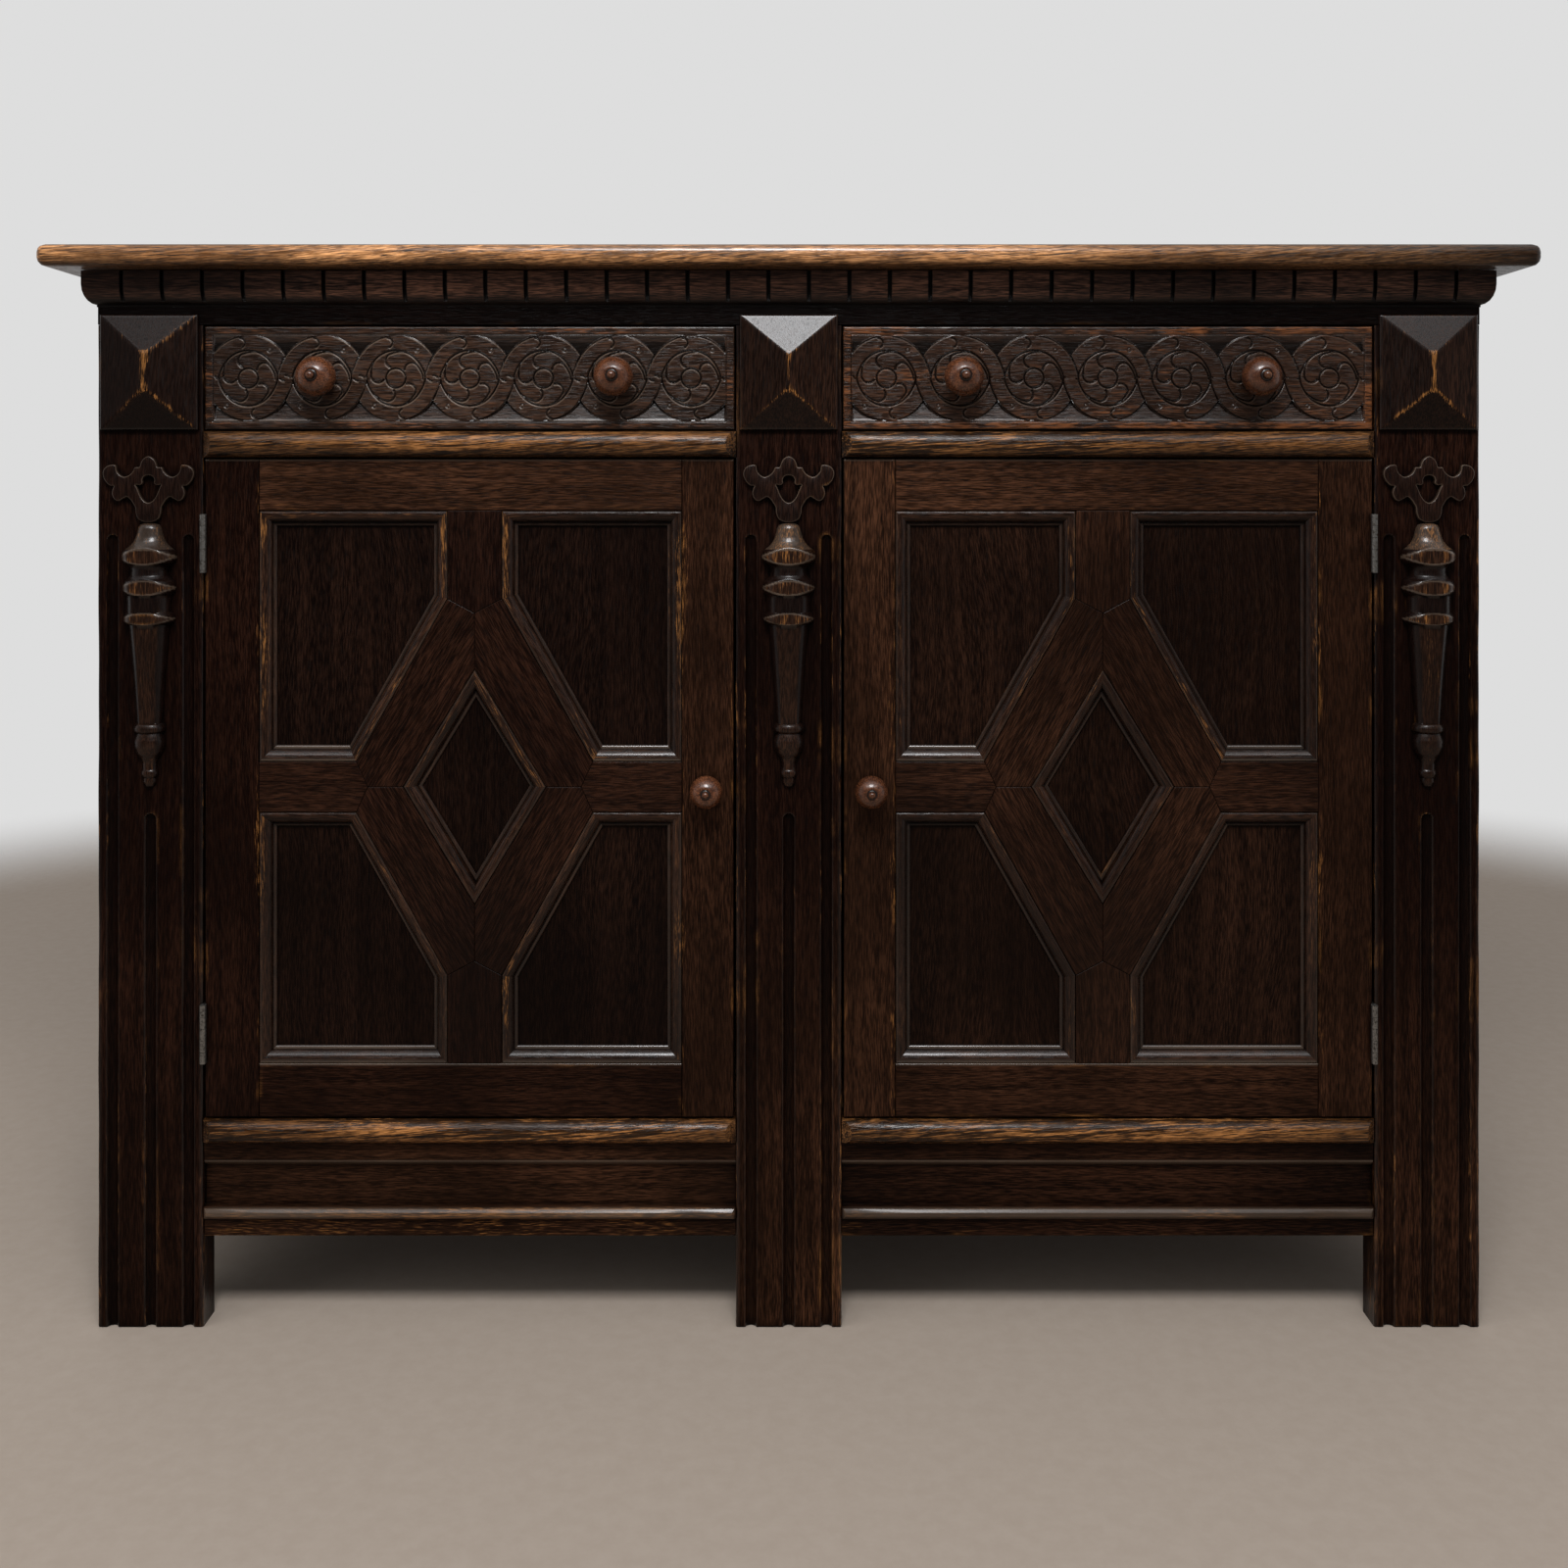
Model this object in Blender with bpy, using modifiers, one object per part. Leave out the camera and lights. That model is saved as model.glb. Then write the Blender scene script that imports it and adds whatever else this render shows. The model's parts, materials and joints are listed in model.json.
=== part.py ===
"""Oak sideboard in the Jacobean manner: two carved drawers over two cupboards with geometric doors.

Metres, +Z up. The front faces -Y, X runs along the front, the floor is z = 0, and the origin lies
under the middle of the whole piece.
"""
import math

import bmesh
import bpy
from mathutils import Matrix, Vector

# Clearances
JOINT_GAP = 0.0003          # between two pieces that touch
DRAWER_GAP = 0.0012         # round a drawer front
DOOR_GAP = 0.0012           # above and below a door
KNOB_SIDE_GAP = 0.0020      # between a door and the centre post
HINGE_SIDE_GAP = 0.0015     # between a door and its hinge post

# Carcase, stacked from the floor up
BODY_WIDTH = 1.204
BODY_DEPTH = 0.440
POST_WIDTH = 0.092
POST_DEPTH = 0.028
APRON_BOTTOM = 0.0795
BOTTOM_RAIL_HEIGHT = 0.0815
FLOOR_NOSE_HEIGHT = 0.021
CUPBOARD_HEIGHT = 0.576
DRAWER_RAIL_HEIGHT = 0.023
DRAWER_OPENING_HEIGHT = 0.0926
HEAD_RAIL_HEIGHT = 0.0464
TOP_THICKNESS = 0.019
TOP_OVERHANG = 0.038
TOP_EDGE_ROUND = 0.007

# Rail mouldings
NOSE_PROJECTION = 0.009
BOTTOM_FLAT_SETBACK = 0.002
BOTTOM_BEAD_PROJECTION = 0.0035
BOTTOM_BEAD_HEIGHT = 0.0105
BOTTOM_LOWER_FLAT = 0.015
BOTTOM_BAND_HEIGHT = 0.034
BOTTOM_BAND_SETBACK = 0.007
BOTTOM_BAND_CHAMFER = 0.005
DOOR_STOP_DROP = 0.010
DOOR_STOP_DEPTH = 0.006

# Frieze moulding
FRIEZE_HEIGHT = 0.031
FRIEZE_PROJECTION = 0.010
FRIEZE_SEGMENT = 0.035
FRIEZE_KNEE_SHARE = 0.62    # of the height, where the front starts to curve in
FRIEZE_FILLET_SHARE = 0.06
GOUGE_WIDTH = 0.003
GOUGE_DEPTH = 0.005

# Sides, back, floor and partition
SIDE_SETBACK = 0.004
SIDE_THICKNESS = 0.020
SIDE_RAIL_HEIGHT = 0.075
SIDE_STILE_WIDTH = 0.040
SIDE_FIELD_SUNK = 0.009
SIDE_FIELD_SLOPE = 0.010
REAR_POST_WIDTH = 0.030
REAR_POST_DEPTH = 0.050
BACK_THICKNESS = 0.006
BACK_SETBACK = 0.008
FLOOR_THICKNESS = 0.016
PARTITION_THICKNESS = 0.018
CLEAT_WIDTH = 0.022
CLEAT_HEIGHT = 0.016
RUNNER_BEARING = 0.020
RUNNER_HEIGHT = 0.020
GUIDE_HEIGHT = 0.019
KICKER_HEIGHT = 0.016

# Front posts: flutes and applied ornament
FLUTE_WIDTH = 0.0095
FLUTE_DEPTH = 0.004
FLUTE_SPACING = 0.033
SIDE_FLUTE_DROP = 0.067     # below the drawer rail
MIDDLE_FLUTE_DROP = 0.253   # below the pendant's top
PYRAMID_WIDTH = 0.085
PYRAMID_HEIGHT = 0.100
PYRAMID_EDGE = 0.004
PYRAMID_RISE = 0.012
PYRAMID_RIDGE = 0.028
PYRAMID_LIFT = 0.001        # above the drawer rail
CREST_THICKNESS = 0.005
CREST_DROP = 0.0565         # of its foot below the drawer rail
PENDANT_DROP = 0.0005       # below the crest's foot
PENDANT_FLAT = 0.016

# Drawers
DRAWER_FRONT_THICKNESS = 0.020
DRAWER_BOX_DEPTH = 0.360
DRAWER_SIDE_THICKNESS = 0.010
DRAWER_SIDE_HEIGHT = 0.075
DRAWER_BOTTOM_THICKNESS = 0.006
DRAWER_BOTTOM_RAISED = 0.010
DRAWER_GROOVE = 0.005
DRAWER_MARGIN = 0.0075
CARVING_SUNK = 0.0035
ROUNDEL_PITCH = 0.0639
ROUNDEL_COUNT = 7
ROUNDEL_RADIUS = 0.0376
ROUNDEL_EYE_RADIUS = 0.0243
ROUNDEL_EYE_SUNK = 0.0015
DRAWER_KNOB_PLACE = 2       # roundels from the middle one to the knob
DRAWER_KNOB_RADIUS = 0.0175
DRAWER_KNOB_REACH = 0.043

# Doors
DOOR_THICKNESS = 0.021
HINGE_STILE_FLAT = 0.047
KNOB_STILE_FLAT = 0.045
TOP_RAIL_FLAT = 0.045
BOTTOM_RAIL_FLAT = 0.047
MOULDING_WIDTH = 0.0137
MOULDING_FILLET_SHARE = 0.12
MOULDING_NOSE_SHARE = 0.85  # of the sinking, down to the fillet
PANEL_SUNK = 0.009
PANEL_THICKNESS = 0.006
PANEL_TONGUE = 0.008
MUNTIN_WIDTH = 0.047
MIDDLE_RAIL_WIDTH = 0.044
LATTICE_SHIFT = 0.0035      # of the lattice's middle towards the knob
MUNTIN_REACH = 0.164        # from the lattice's middle to the end of a muntin's straight edge
MIDDLE_RAIL_REACH = 0.103
DIAMOND_HALF_WIDTH = 0.0625
DIAMOND_HALF_HEIGHT = 0.103
DOOR_KNOB_RADIUS = 0.0145
DOOR_KNOB_REACH = 0.037
DOOR_KNOB_INSET = 0.023

# Butt hinges
HINGE_LENGTH = 0.051
HINGE_FROM_DOOR_END = 0.0735
KNUCKLE_RADIUS = 0.0028
PIN_RADIUS = 0.0012
PIN_CLEARANCE = 0.0005
LEAF_THICKNESS = 0.0012
LEAF_WIDTH = 0.016
KNUCKLES = 5

# Places worked out from the sizes above
FRONT_REACH = max(TOP_OVERHANG, DRAWER_KNOB_REACH)
FACE_Y = (FRONT_REACH - BODY_DEPTH) / 2
BACK_Y = FACE_Y + BODY_DEPTH
POST_BACK_Y = FACE_Y + POST_DEPTH
HALF_BODY = BODY_WIDTH / 2
POST_INNER = HALF_BODY - POST_WIDTH
HALF_POST = POST_WIDTH / 2
POST_CENTRES = {"left": -HALF_BODY + HALF_POST, "centre": 0.0, "right": HALF_BODY - HALF_POST}
SIDES = {"left": -1, "right": 1}
BOTTOM_RAIL_TOP = APRON_BOTTOM + BOTTOM_RAIL_HEIGHT
FLOOR_TOP = BOTTOM_RAIL_TOP + FLOOR_NOSE_HEIGHT
DRAWER_RAIL_BOTTOM = FLOOR_TOP + CUPBOARD_HEIGHT
DRAWER_RAIL_TOP = DRAWER_RAIL_BOTTOM + DRAWER_RAIL_HEIGHT
HEAD_RAIL_BOTTOM = DRAWER_RAIL_TOP + DRAWER_OPENING_HEIGHT
BODY_TOP = HEAD_RAIL_BOTTOM + HEAD_RAIL_HEIGHT
PYRAMID_BOTTOM = DRAWER_RAIL_TOP + PYRAMID_LIFT
CREST_BOTTOM = DRAWER_RAIL_BOTTOM - CREST_DROP
PENDANT_TOP = CREST_BOTTOM - PENDANT_DROP
SIDE_FLUTE_TOP = DRAWER_RAIL_BOTTOM - SIDE_FLUTE_DROP
MIDDLE_FLUTE_TOP = PENDANT_TOP - MIDDLE_FLUTE_DROP
SIDE_INNER = HALF_BODY - SIDE_SETBACK - SIDE_THICKNESS
REAR_POST_INNER = HALF_BODY - REAR_POST_WIDTH
BACK_PANEL_FRONT = BACK_Y - BACK_SETBACK - BACK_THICKNESS
DOOR_KNOB_EDGE = HALF_POST + KNOB_SIDE_GAP
DOOR_HINGE_EDGE = POST_INNER - HINGE_SIDE_GAP
DOOR_BOTTOM = FLOOR_TOP + DOOR_GAP
DOOR_TOP = DRAWER_RAIL_BOTTOM - DOOR_GAP
PANEL_FRONT_Y = FACE_Y + PANEL_SUNK + JOINT_GAP
HINGE_X = (POST_INNER + DOOR_HINGE_EDGE) / 2
HINGE_Y = FACE_Y - KNUCKLE_RADIUS - JOINT_GAP

# The planes that an outline can be drawn in, with the turn that brings it there
ACROSS_FRONT = Matrix.Rotation(math.pi / 2, 4, "X")
ACROSS_SIDE = Matrix(((0, 0, 1, 0), (1, 0, 0, 0), (0, 1, 0, 0), (0, 0, 0, 1)))
LEVEL = Matrix.Identity(4)

for old in list(bpy.data.objects):
    bpy.data.objects.remove(old)

PARTS = bpy.data.collections.new("sideboard")
CUTTERS = bpy.data.collections.new("sideboard_cutters")
for collection in (PARTS, CUTTERS):
    bpy.context.scene.collection.children.link(collection)


def finish(name, colour, roughness, metallic=0.0):
    """A plain finish for one kind of piece."""
    material = bpy.data.materials.new(name)
    material.use_nodes = True
    shader = material.node_tree.nodes["Principled BSDF"]
    shader.inputs["Base Color"].default_value = (*colour, 1.0)
    shader.inputs["Roughness"].default_value = roughness
    shader.inputs["Metallic"].default_value = metallic
    return material


DARK_OAK = finish("dark_oak", (0.020, 0.010, 0.006), 0.38)
WORN_OAK = finish("worn_oak", (0.075, 0.034, 0.014), 0.36)
TURNED_OAK = finish("turned_oak", (0.110, 0.036, 0.014), 0.28)
INNER_OAK = finish("inner_oak", (0.160, 0.085, 0.040), 0.62)
HINGE_STEEL = finish("hinge_steel", (0.180, 0.170, 0.150), 0.45, 1.0)


def place(name, mesh, material, collection=PARTS):
    """An object of its own for a mesh that already lies where it belongs."""
    piece = bpy.data.objects.new(name, mesh)
    collection.objects.link(piece)
    if material:
        mesh.materials.append(material)
    else:
        piece.hide_render = True
        piece.display_type = "WIRE"
    return piece


def from_bmesh(name, bm, material, collection=PARTS):
    """Closes a bmesh into an object, with its faces pointing out."""
    bmesh.ops.recalc_face_normals(bm, faces=bm.faces)
    mesh = bpy.data.meshes.new(name)
    bm.to_mesh(mesh)
    bm.free()
    return place(name, mesh, material, collection)


def add_block(bm, low, high):
    """A box between two corners, added to a bmesh."""
    low, high = Vector(low), Vector(high)
    size = Matrix.Diagonal((*(high - low), 1.0))
    bmesh.ops.create_cube(bm, size=1.0, matrix=Matrix.Translation((low + high) / 2) @ size)


def pushed_out(bm, face, keep=False):
    """Extrudes one face and gives back the new face, dropping the old one unless it closes the shape."""
    rim = bmesh.ops.extrude_face_region(bm, geom=[face])
    if not keep:
        bmesh.ops.delete(bm, geom=[face], context="FACES_ONLY")
    return next(item for item in rim["geom"] if isinstance(item, bmesh.types.BMFace))


def scaled_about_middle(bm, face, shares):
    """Scales one face about its own middle."""
    middle = face.calc_center_median()
    bmesh.ops.scale(bm, vec=shares, space=Matrix.Translation(-middle), verts=face.verts)


def block(name, low, high, material, collection=PARTS):
    """A plain board between two corners."""
    bm = bmesh.new()
    add_block(bm, low, high)
    return from_bmesh(name, bm, material, collection)


def plate(name, loops, start, end, plane, material, collection=PARTS):
    """An outline, with any holes, drawn in a plane and extruded from start to end across it."""
    curve = bpy.data.curves.new(name, "CURVE")
    curve.dimensions = "2D"
    curve.fill_mode = "BOTH"
    curve.extrude = abs(end - start) / 2
    for loop in loops:
        spline = curve.splines.new("POLY")
        spline.points.add(len(loop) - 1)
        for point, (u, v) in zip(spline.points, loop):
            point.co = (u, v, 0.0, 1.0)
        spline.use_cyclic_u = True
    drawing = bpy.data.objects.new(name, curve)
    CUTTERS.objects.link(drawing)
    shape = drawing.evaluated_get(bpy.context.evaluated_depsgraph_get())
    mesh = bpy.data.meshes.new_from_object(shape)
    bpy.data.objects.remove(drawing)
    bm = bmesh.new()
    bm.from_mesh(mesh)
    bmesh.ops.remove_doubles(bm, verts=bm.verts, dist=0.00001)
    middle = plane.to_3x3() @ Vector((0.0, 0.0, 1.0))
    shift = Matrix.Translation(Vector(abs(axis) for axis in middle) * (start + end) / 2)
    bmesh.ops.transform(bm, matrix=shift @ plane, verts=bm.verts)
    return from_bmesh(name, bm, material, collection)


def turned(name, profile, material, steps=20):
    """A piece turned about its own Z, from (radius, height) points listed top to bottom."""
    mesh = bpy.data.meshes.new(name)
    points = [(radius, 0.0, height) for radius, height in profile]
    mesh.from_pydata(points, [(i, i + 1) for i in range(len(points) - 1)], [])
    piece = place(name, mesh, material)
    screw = piece.modifiers.new("turning", "SCREW")
    screw.steps = steps
    screw.render_steps = steps
    screw.use_merge_vertices = True
    screw.merge_threshold = 0.00001
    screw.use_smooth_shade = True
    return piece


def combine(piece, tool, operation="DIFFERENCE"):
    """Cuts a piece with a tool, or joins the tool to it."""
    change = piece.modifiers.new(operation.lower(), "BOOLEAN")
    change.operation = operation
    change.solver = "EXACT"
    change.object = tool
    return piece


def rounded(piece, width, segments=2, angle=math.radians(40)):
    """Rounds a piece's sharp edges."""
    bevel = piece.modifiers.new("rounding", "BEVEL")
    bevel.width = width
    bevel.segments = segments
    bevel.limit_method = "ANGLE"
    bevel.angle_limit = angle
    return piece


def arc(centre, radius_u, radius_v, start, end, count):
    """Points along an elliptical arc, with both ends, angles in degrees."""
    angles = [math.radians(start + (end - start) * i / count) for i in range(count + 1)]
    return [(centre[0] + radius_u * math.cos(a), centre[1] + radius_v * math.sin(a)) for a in angles]


def arc_through(first, middle, last, count):
    """Points along the circle through three points, without the first."""
    a, b, c = (Vector(p) for p in (first, middle, last))
    ab, ac = b - a, c - a
    double_area = 2 * (ab.x * ac.y - ab.y * ac.x)
    to_centre = Vector((ac.y * ab.length_squared - ab.y * ac.length_squared,
                        ab.x * ac.length_squared - ac.x * ab.length_squared)) / double_area
    centre = a + to_centre
    start = math.atan2(*(a - centre).yx)
    turn = math.copysign(1, double_area)
    sweep = ((math.atan2(*(c - centre).yx) - start) * turn) % math.tau * turn
    radius = to_centre.length
    angles = [start + sweep * i / count for i in range(1, count + 1)]
    return [(centre.x + radius * math.cos(t), centre.y + radius * math.sin(t)) for t in angles]


def carried_by(axis, pieces):
    """Hangs moving pieces on an empty that stands on their joint's axis."""
    for piece in pieces:
        piece.parent = axis
        piece.matrix_parent_inverse = Matrix.Translation(axis.location).inverted()


def axis_empty(name, location):
    """An empty that marks a joint's axis."""
    empty = bpy.data.objects.new(name, None)
    empty.location = location
    PARTS.objects.link(empty)
    return empty


def top_board():
    """The top, overhanging the posts in front and at both ends, with rounded edges."""
    half = HALF_BODY + TOP_OVERHANG
    low = (-half, FACE_Y - TOP_OVERHANG, BODY_TOP + JOINT_GAP)
    board = block("top_board", low, (half, BACK_Y, BODY_TOP + TOP_THICKNESS), WORN_OAK)
    return rounded(board, min(TOP_EDGE_ROUND, TOP_THICKNESS / 2.2), 3)


def frieze_profile(out):
    """The ovolo's section: level on top, full at the front, curving back in below."""
    top = BODY_TOP - JOINT_GAP
    bottom = BODY_TOP - FRIEZE_HEIGHT
    height = top - bottom
    knee = bottom + height * FRIEZE_KNEE_SHARE
    drop = knee - bottom - height * FRIEZE_FILLET_SHARE
    curve = arc((0.0, knee), FRIEZE_PROJECTION, drop, 0, -90, 5)
    section = [(0.0, top), (FRIEZE_PROJECTION, top)] + curve[:-1] + [(JOINT_GAP, curve[-1][1])]
    section = section + [(JOINT_GAP, bottom), (0.0, bottom)]
    return [(out(depth + JOINT_GAP), z) for depth, z in section]


def mitre_cutter(name, side, keeps_front):
    """A corner-to-corner wedge that mitres the frieze at one end."""
    corner = Vector((side * HALF_BODY, FACE_Y))
    reach = FRIEZE_PROJECTION * 4 + FRIEZE_SEGMENT
    along = Vector((side, -1.0)) * reach
    away = Vector((side, 1.0)) if keeps_front else Vector((-side, -1.0))
    start = corner - away.normalized() * JOINT_GAP / 2
    far = start + away * reach * 2
    outline = [start - along, start + along, far + along, far - along]
    loops = [[tuple(point) for point in outline]]
    below = BODY_TOP - FRIEZE_HEIGHT * 2
    return plate(name, loops, below, BODY_TOP + FRIEZE_HEIGHT, LEVEL, None, CUTTERS)


def gouge_cutter(name, centres, along_x, fixed, outward):
    """A row of upright gouges across a length of the frieze."""
    bm = bmesh.new()
    near = fixed + outward * (FRIEZE_PROJECTION - GOUGE_DEPTH)
    far = fixed + outward * FRIEZE_PROJECTION * 2
    for centre in centres:
        across = (centre - GOUGE_WIDTH / 2, centre + GOUGE_WIDTH / 2)
        depth = (min(near, far), max(near, far))
        heights = (BODY_TOP - FRIEZE_HEIGHT * 1.5, BODY_TOP + FRIEZE_HEIGHT)
        (x0, x1), (y0, y1) = (across, depth) if along_x else (depth, across)
        add_block(bm, (x0, y0, heights[0]), (x1, y1, heights[1]))
    return from_bmesh(name, bm, None, CUTTERS)


def spaced(start, end):
    """Gouge places between two ends, evenly spaced at about one segment."""
    count = max(2, round((end - start) / FRIEZE_SEGMENT))
    return [start + (end - start) * i / count for i in range(1, count)]


def frieze_mouldings():
    """The gouged ovolo under the top: a front length and two returns, mitred at the corners."""
    reach = HALF_BODY + FRIEZE_PROJECTION + JOINT_GAP
    front = plate("frieze_moulding_front", [frieze_profile(lambda d: FACE_Y - d)], -reach, reach,
                  ACROSS_SIDE, DARK_OAK)
    for label, side in SIDES.items():
        combine(front, mitre_cutter("mitre_front_" + label, side, True))
    combine(front, gouge_cutter("gouges_front", spaced(-reach, reach), True, FACE_Y, -1))
    for label, side in SIDES.items():
        profile = frieze_profile(lambda d: side * (HALF_BODY + d))
        start = FACE_Y - FRIEZE_PROJECTION - JOINT_GAP
        length = plate("frieze_moulding_" + label, [profile], start, BACK_Y, ACROSS_FRONT, DARK_OAK)
        combine(length, mitre_cutter("mitre_side_" + label, side, False))
        places = spaced(start, BACK_Y)
        combine(length, gouge_cutter("gouges_" + label, places, False, side * HALF_BODY, side))


def flute_cutter(name, centre_x, top):
    """A round-ended gouge that runs up a post from the floor."""
    radius = (FLUTE_WIDTH ** 2 / 4 + FLUTE_DEPTH ** 2) / (2 * FLUTE_DEPTH)
    centre_y = FACE_Y + FLUTE_DEPTH - radius
    end = top - radius
    bm = bmesh.new()
    shaft = end + FLUTE_WIDTH
    matrix = Matrix.Translation((centre_x, centre_y, (end - FLUTE_WIDTH) / 2))
    bmesh.ops.create_cone(bm, cap_ends=True, segments=14, radius1=radius, radius2=radius,
                          depth=shaft, matrix=matrix)
    top_face = max(bm.faces, key=lambda face: face.calc_center_median().z)
    for share in (0.75, 0.35):
        top_face = pushed_out(bm, top_face)
        lift = radius * (1.0 - share) * 0.75
        bmesh.ops.translate(bm, vec=(0.0, 0.0, lift), verts=top_face.verts)
        scaled_about_middle(bm, top_face, (share, share, 1.0))
    return from_bmesh(name, bm, None, CUTTERS)


def front_posts():
    """Three flat posts that run down as legs, each with three flutes."""
    for label, centre in POST_CENTRES.items():
        low = (centre - HALF_POST, FACE_Y, 0.0)
        high = (centre + HALF_POST, POST_BACK_Y, HEAD_RAIL_BOTTOM - JOINT_GAP)
        post = block(label + "_front_post", low, high, DARK_OAK)
        for number, step in enumerate((-1, 0, 1)):
            top = SIDE_FLUTE_TOP if step else MIDDLE_FLUTE_TOP
            combine(post, flute_cutter(f"flute_{label}_{number}", centre + step * FLUTE_SPACING, top))
        for hinge_z in hinge_centres() if label in SIDES else ():
            face = SIDES[label] * POST_INNER
            combine(post, leaf_mortise(f"mortise_{label}_{hinge_z:.3f}", face, SIDES[label], hinge_z))


def rear_posts():
    """Plain rear legs."""
    for label, side in SIDES.items():
        inner, outer = sorted((side * REAR_POST_INNER, side * HALF_BODY))
        low = (inner, BACK_Y - REAR_POST_DEPTH, 0.0)
        block(label + "_rear_post", low, (outer, BACK_Y, BODY_TOP - JOINT_GAP), DARK_OAK)


def head_rail():
    """The rail over the drawers, across the heads of the posts."""
    low = (-HALF_BODY, FACE_Y, HEAD_RAIL_BOTTOM)
    block("head_rail", low, (HALF_BODY, POST_BACK_Y, BODY_TOP - JOINT_GAP), DARK_OAK)


def nose(bottom, top, from_depth, count=7):
    """The section of a thumb moulding, from its foot up over its nose."""
    middle = (bottom + top) / 2
    reach = NOSE_PROJECTION + from_depth
    curve = arc((from_depth, middle), reach, (top - bottom) / 2, -90, 90, count)
    return [(FACE_Y + 2 * from_depth - depth, z) for depth, z in curve]


def hip_cutter(name, inner_x, side, low, high):
    """A wedge that slopes off the end of a nose where it meets a post."""
    start = FACE_Y - JOINT_GAP
    tip = NOSE_PROJECTION + JOINT_GAP * 2
    past_end = inner_x + side * NOSE_PROJECTION
    outline = [(inner_x - side * JOINT_GAP, start), (inner_x - side * tip, start - tip),
               (past_end, start - tip), (past_end, start)]
    return plate(name, [outline], low, high, LEVEL, None, CUTTERS)


def moulded_rail(name, section, side, low, high):
    """A rail between the centre post and an outer post, its nose hipped at both ends."""
    ends = (side * (HALF_POST + JOINT_GAP), side * (POST_INNER - JOINT_GAP))
    rail = plate(name, [section], min(ends), max(ends), ACROSS_SIDE, WORN_OAK)
    combine(rail, hip_cutter(name + "_hip_in", ends[0], -side, low, high))
    combine(rail, hip_cutter(name + "_hip_out", ends[1], side, low, high))
    return rail


def drawer_rails():
    """Thumb-moulded rails under the drawers, with the doors' stop behind."""
    stop_front = POST_BACK_Y - DOOR_STOP_DEPTH
    stop_bottom = DRAWER_RAIL_BOTTOM - DOOR_STOP_DROP
    section = nose(DRAWER_RAIL_BOTTOM, DRAWER_RAIL_TOP, 0.0)
    section = section + [(POST_BACK_Y, DRAWER_RAIL_TOP), (POST_BACK_Y, stop_bottom)]
    section = section + [(stop_front, stop_bottom), (stop_front, DRAWER_RAIL_BOTTOM)]
    for label, side in SIDES.items():
        moulded_rail(label + "_drawer_rail", section, side, stop_bottom, DRAWER_RAIL_TOP + NOSE_PROJECTION)


def bottom_rails():
    """Bottom rails: a plain foot, a bead, a sunk band, a fascia and a thumb nose on top."""
    flat_y = FACE_Y + BOTTOM_FLAT_SETBACK
    band_y = FACE_Y + BOTTOM_BAND_SETBACK
    bead_low = APRON_BOTTOM + BOTTOM_LOWER_FLAT
    bead_high = bead_low + BOTTOM_BEAD_HEIGHT
    band_high = bead_high + BOTTOM_BAND_HEIGHT
    bead_reach = BOTTOM_BEAD_PROJECTION + BOTTOM_FLAT_SETBACK
    bead = arc((0.0, (bead_low + bead_high) / 2), bead_reach, BOTTOM_BEAD_HEIGHT / 2, -90, 90, 5)
    section = [(POST_BACK_Y, APRON_BOTTOM), (flat_y, APRON_BOTTOM)]
    section = section + [(flat_y - depth, z) for depth, z in bead]
    section = section + [(band_y, bead_high), (band_y, band_high), (flat_y, band_high + BOTTOM_BAND_CHAMFER)]
    section = section + nose(BOTTOM_RAIL_TOP, FLOOR_TOP, BOTTOM_FLAT_SETBACK / 2) + [(POST_BACK_Y, FLOOR_TOP)]
    for label, side in SIDES.items():
        low, high = APRON_BOTTOM - NOSE_PROJECTION, FLOOR_TOP + NOSE_PROJECTION
        moulded_rail(label + "_bottom_rail", section, side, low, high)


def runner_steps(face, bearing_end, guide_end):
    """The stepped section of a drawer runner, guide and kicker on an upright face, bottom to top."""
    low = DRAWER_RAIL_TOP - RUNNER_HEIGHT
    guide = DRAWER_RAIL_TOP + GUIDE_HEIGHT
    kicker = HEAD_RAIL_BOTTOM + KICKER_HEIGHT
    return [(face, low), (bearing_end, low), (bearing_end, DRAWER_RAIL_TOP), (guide_end, DRAWER_RAIL_TOP),
            (guide_end, guide), (face, guide), (face, HEAD_RAIL_BOTTOM), (bearing_end, HEAD_RAIL_BOTTOM),
            (bearing_end, kicker), (face, kicker)]


def side_panels():
    """Framed sides with a sunk field, a cleat for the floor and an outer runner for the drawer."""
    front = POST_BACK_Y + JOINT_GAP
    back = BACK_Y - REAR_POST_DEPTH - JOINT_GAP
    top = BODY_TOP - JOINT_GAP
    cleat_top = FLOOR_TOP - FLOOR_THICKNESS - JOINT_GAP
    for label, side in SIDES.items():
        outer = side * (HALF_BODY - SIDE_SETBACK)
        inner = side * SIDE_INNER
        cleat = side * (SIDE_INNER - CLEAT_WIDTH)
        section = [(outer, APRON_BOTTOM), (inner, APRON_BOTTOM), (inner, cleat_top - CLEAT_HEIGHT)]
        section = section + [(cleat, cleat_top - CLEAT_HEIGHT), (cleat, cleat_top), (inner, cleat_top)]
        bearing = side * (POST_INNER - RUNNER_BEARING)
        section = section + runner_steps(inner, bearing, side * POST_INNER)
        section = section + [(inner, top), (outer, top)]
        panel = plate(label + "_side_panel", [section], front, back, ACROSS_FRONT, DARK_OAK)
        combine(panel, field_cutter("field_" + label, outer, side, front, back, top))


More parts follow.
